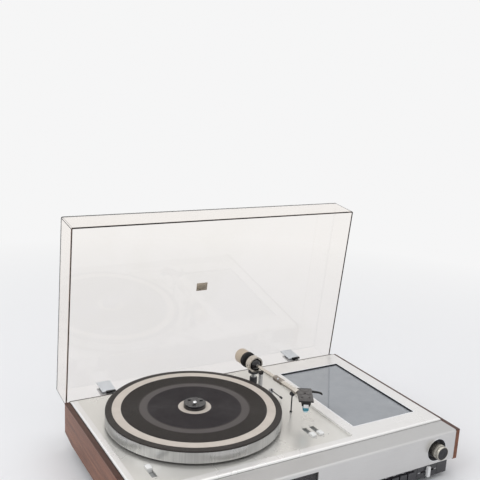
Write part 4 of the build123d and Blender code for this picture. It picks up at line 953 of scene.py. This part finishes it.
shape = bmesh.new()
add_on_clips(shape, (18.0, 3.0), 7.0, -4.6, (-6.5, -1.5), 0.6)
make_piece("clip_pads", shape, "lid", "black_plastic", "black_matt")
shape = bmesh.new()
add_on_clips(shape, (26.0, 2.2), 4.5, -3.8, (-2.0, 34.0), 0.5)
make_piece("clip_plates", shape, "lid", "hinge_steel", "plate_bright")

# Floor, backdrop and light, in metres. The floor fades into the backdrop with distance.
BACKDROP = (0.92, 0.92, 0.922, 1.0)
FLOOR_MIDDLE = (0.1, 0.0, FLOOR * MM)
FLOOR_RADIUS = 9.0
FADE_FROM, FADE_TO = 0.45, 1.7
LIT_MIDDLE = (0.1, 0.0, 0.0)


def seen_rays(tree):
    """1 for rays that make the picture, a reflection or what shows through glass, or else 0."""
    rays = tree.nodes.new("ShaderNodeLightPath").outputs
    mirrored_too = calculate(tree, "MAXIMUM", rays["Is Camera Ray"], rays["Is Glossy Ray"])
    return calculate(tree, "MAXIMUM", mirrored_too, rays["Is Transmission Ray"])


def mix_shaders(tree, share, first, second, output):
    """Mixes two shaders into the tree's output."""
    both = {0: share, 1: first.outputs[0], 2: second.outputs[0]}
    mixed = wire(tree, "ShaderNodeMixShader", both)
    tree.links.new(mixed.outputs[0], tree.nodes[output].inputs["Surface"])


floor_mesh = bmesh.new()
bmesh.ops.create_circle(floor_mesh, cap_ends=True, radius=FLOOR_RADIUS, segments=96,
                        matrix=Matrix.Translation(FLOOR_MIDDLE))
floor_data = bpy.data.meshes.new("floor")
floor_mesh.to_mesh(floor_data)
floor_mesh.free()
floor = show("floor", floor_data)

paper = bpy.data.materials.new("floor_paper")
paper.use_nodes = True
tree = paper.node_tree
tree.nodes.remove(tree.nodes["Principled BSDF"])
matt = wire(tree, "ShaderNodeBsdfDiffuse", {"Color": (0.81, 0.81, 0.82, 1.0)})
glow = wire(tree, "ShaderNodeEmission", {"Color": BACKDROP, "Strength": 1.0})
distance = combine(tree, "DISTANCE", part_place(tree), FLOOR_MIDDLE)["Value"]
far_share = spread(tree, distance, FADE_FROM, FADE_TO)
fade = calculate(tree, "MULTIPLY", far_share, seen_rays(tree))
mix_shaders(tree, fade, matt, glow, "Material Output")
floor_data.materials.append(paper)

world = bpy.data.worlds.new("studio")
bpy.context.scene.world = world
world.use_nodes = True
tree = world.node_tree
backdrop = tree.nodes["Background"]
backdrop.inputs["Color"].default_value = BACKDROP
backdrop.inputs["Strength"].default_value = 1.0
soft = wire(tree, "ShaderNodeBackground", {"Color": (0.97, 0.98, 1.0, 1.0), "Strength": 0.77})
mix_shaders(tree, seen_rays(tree), soft, backdrop, "World Output")


def add_softbox(name, place, size, power):
    """A large soft lamp that looks at the middle of the player."""
    lamp = bpy.data.lights.new(name, "AREA")
    lamp.shape, lamp.size, lamp.energy = "SQUARE", size, power
    holder = show(name, lamp)
    holder.location = place
    line = Vector(LIT_MIDDLE) - Vector(place)
    holder.rotation_euler = line.to_track_quat("-Z", "Y").to_euler()


add_softbox("softbox_left", (-1.5, -0.2, 1.7), size=1.4, power=12.0)
add_softbox("softbox_above", (0.55, -0.15, 2.2), size=2.8, power=14.0)

# Camera
camera_data = bpy.data.cameras.new("camera")
camera_data.sensor_width = 36.0
camera_data.lens = 54.25
camera_data.shift_x = -0.0515
camera_data.shift_y = 0.0163
camera = show("camera", camera_data)
camera.location = (-0.50709, -1.01733, 0.56206)
camera.rotation_euler = [math.radians(angle) for angle in (76.2319, -3.4380, -30.8275)]
bpy.context.scene.camera = camera

bpy.context.scene.view_settings.view_transform = "Standard"
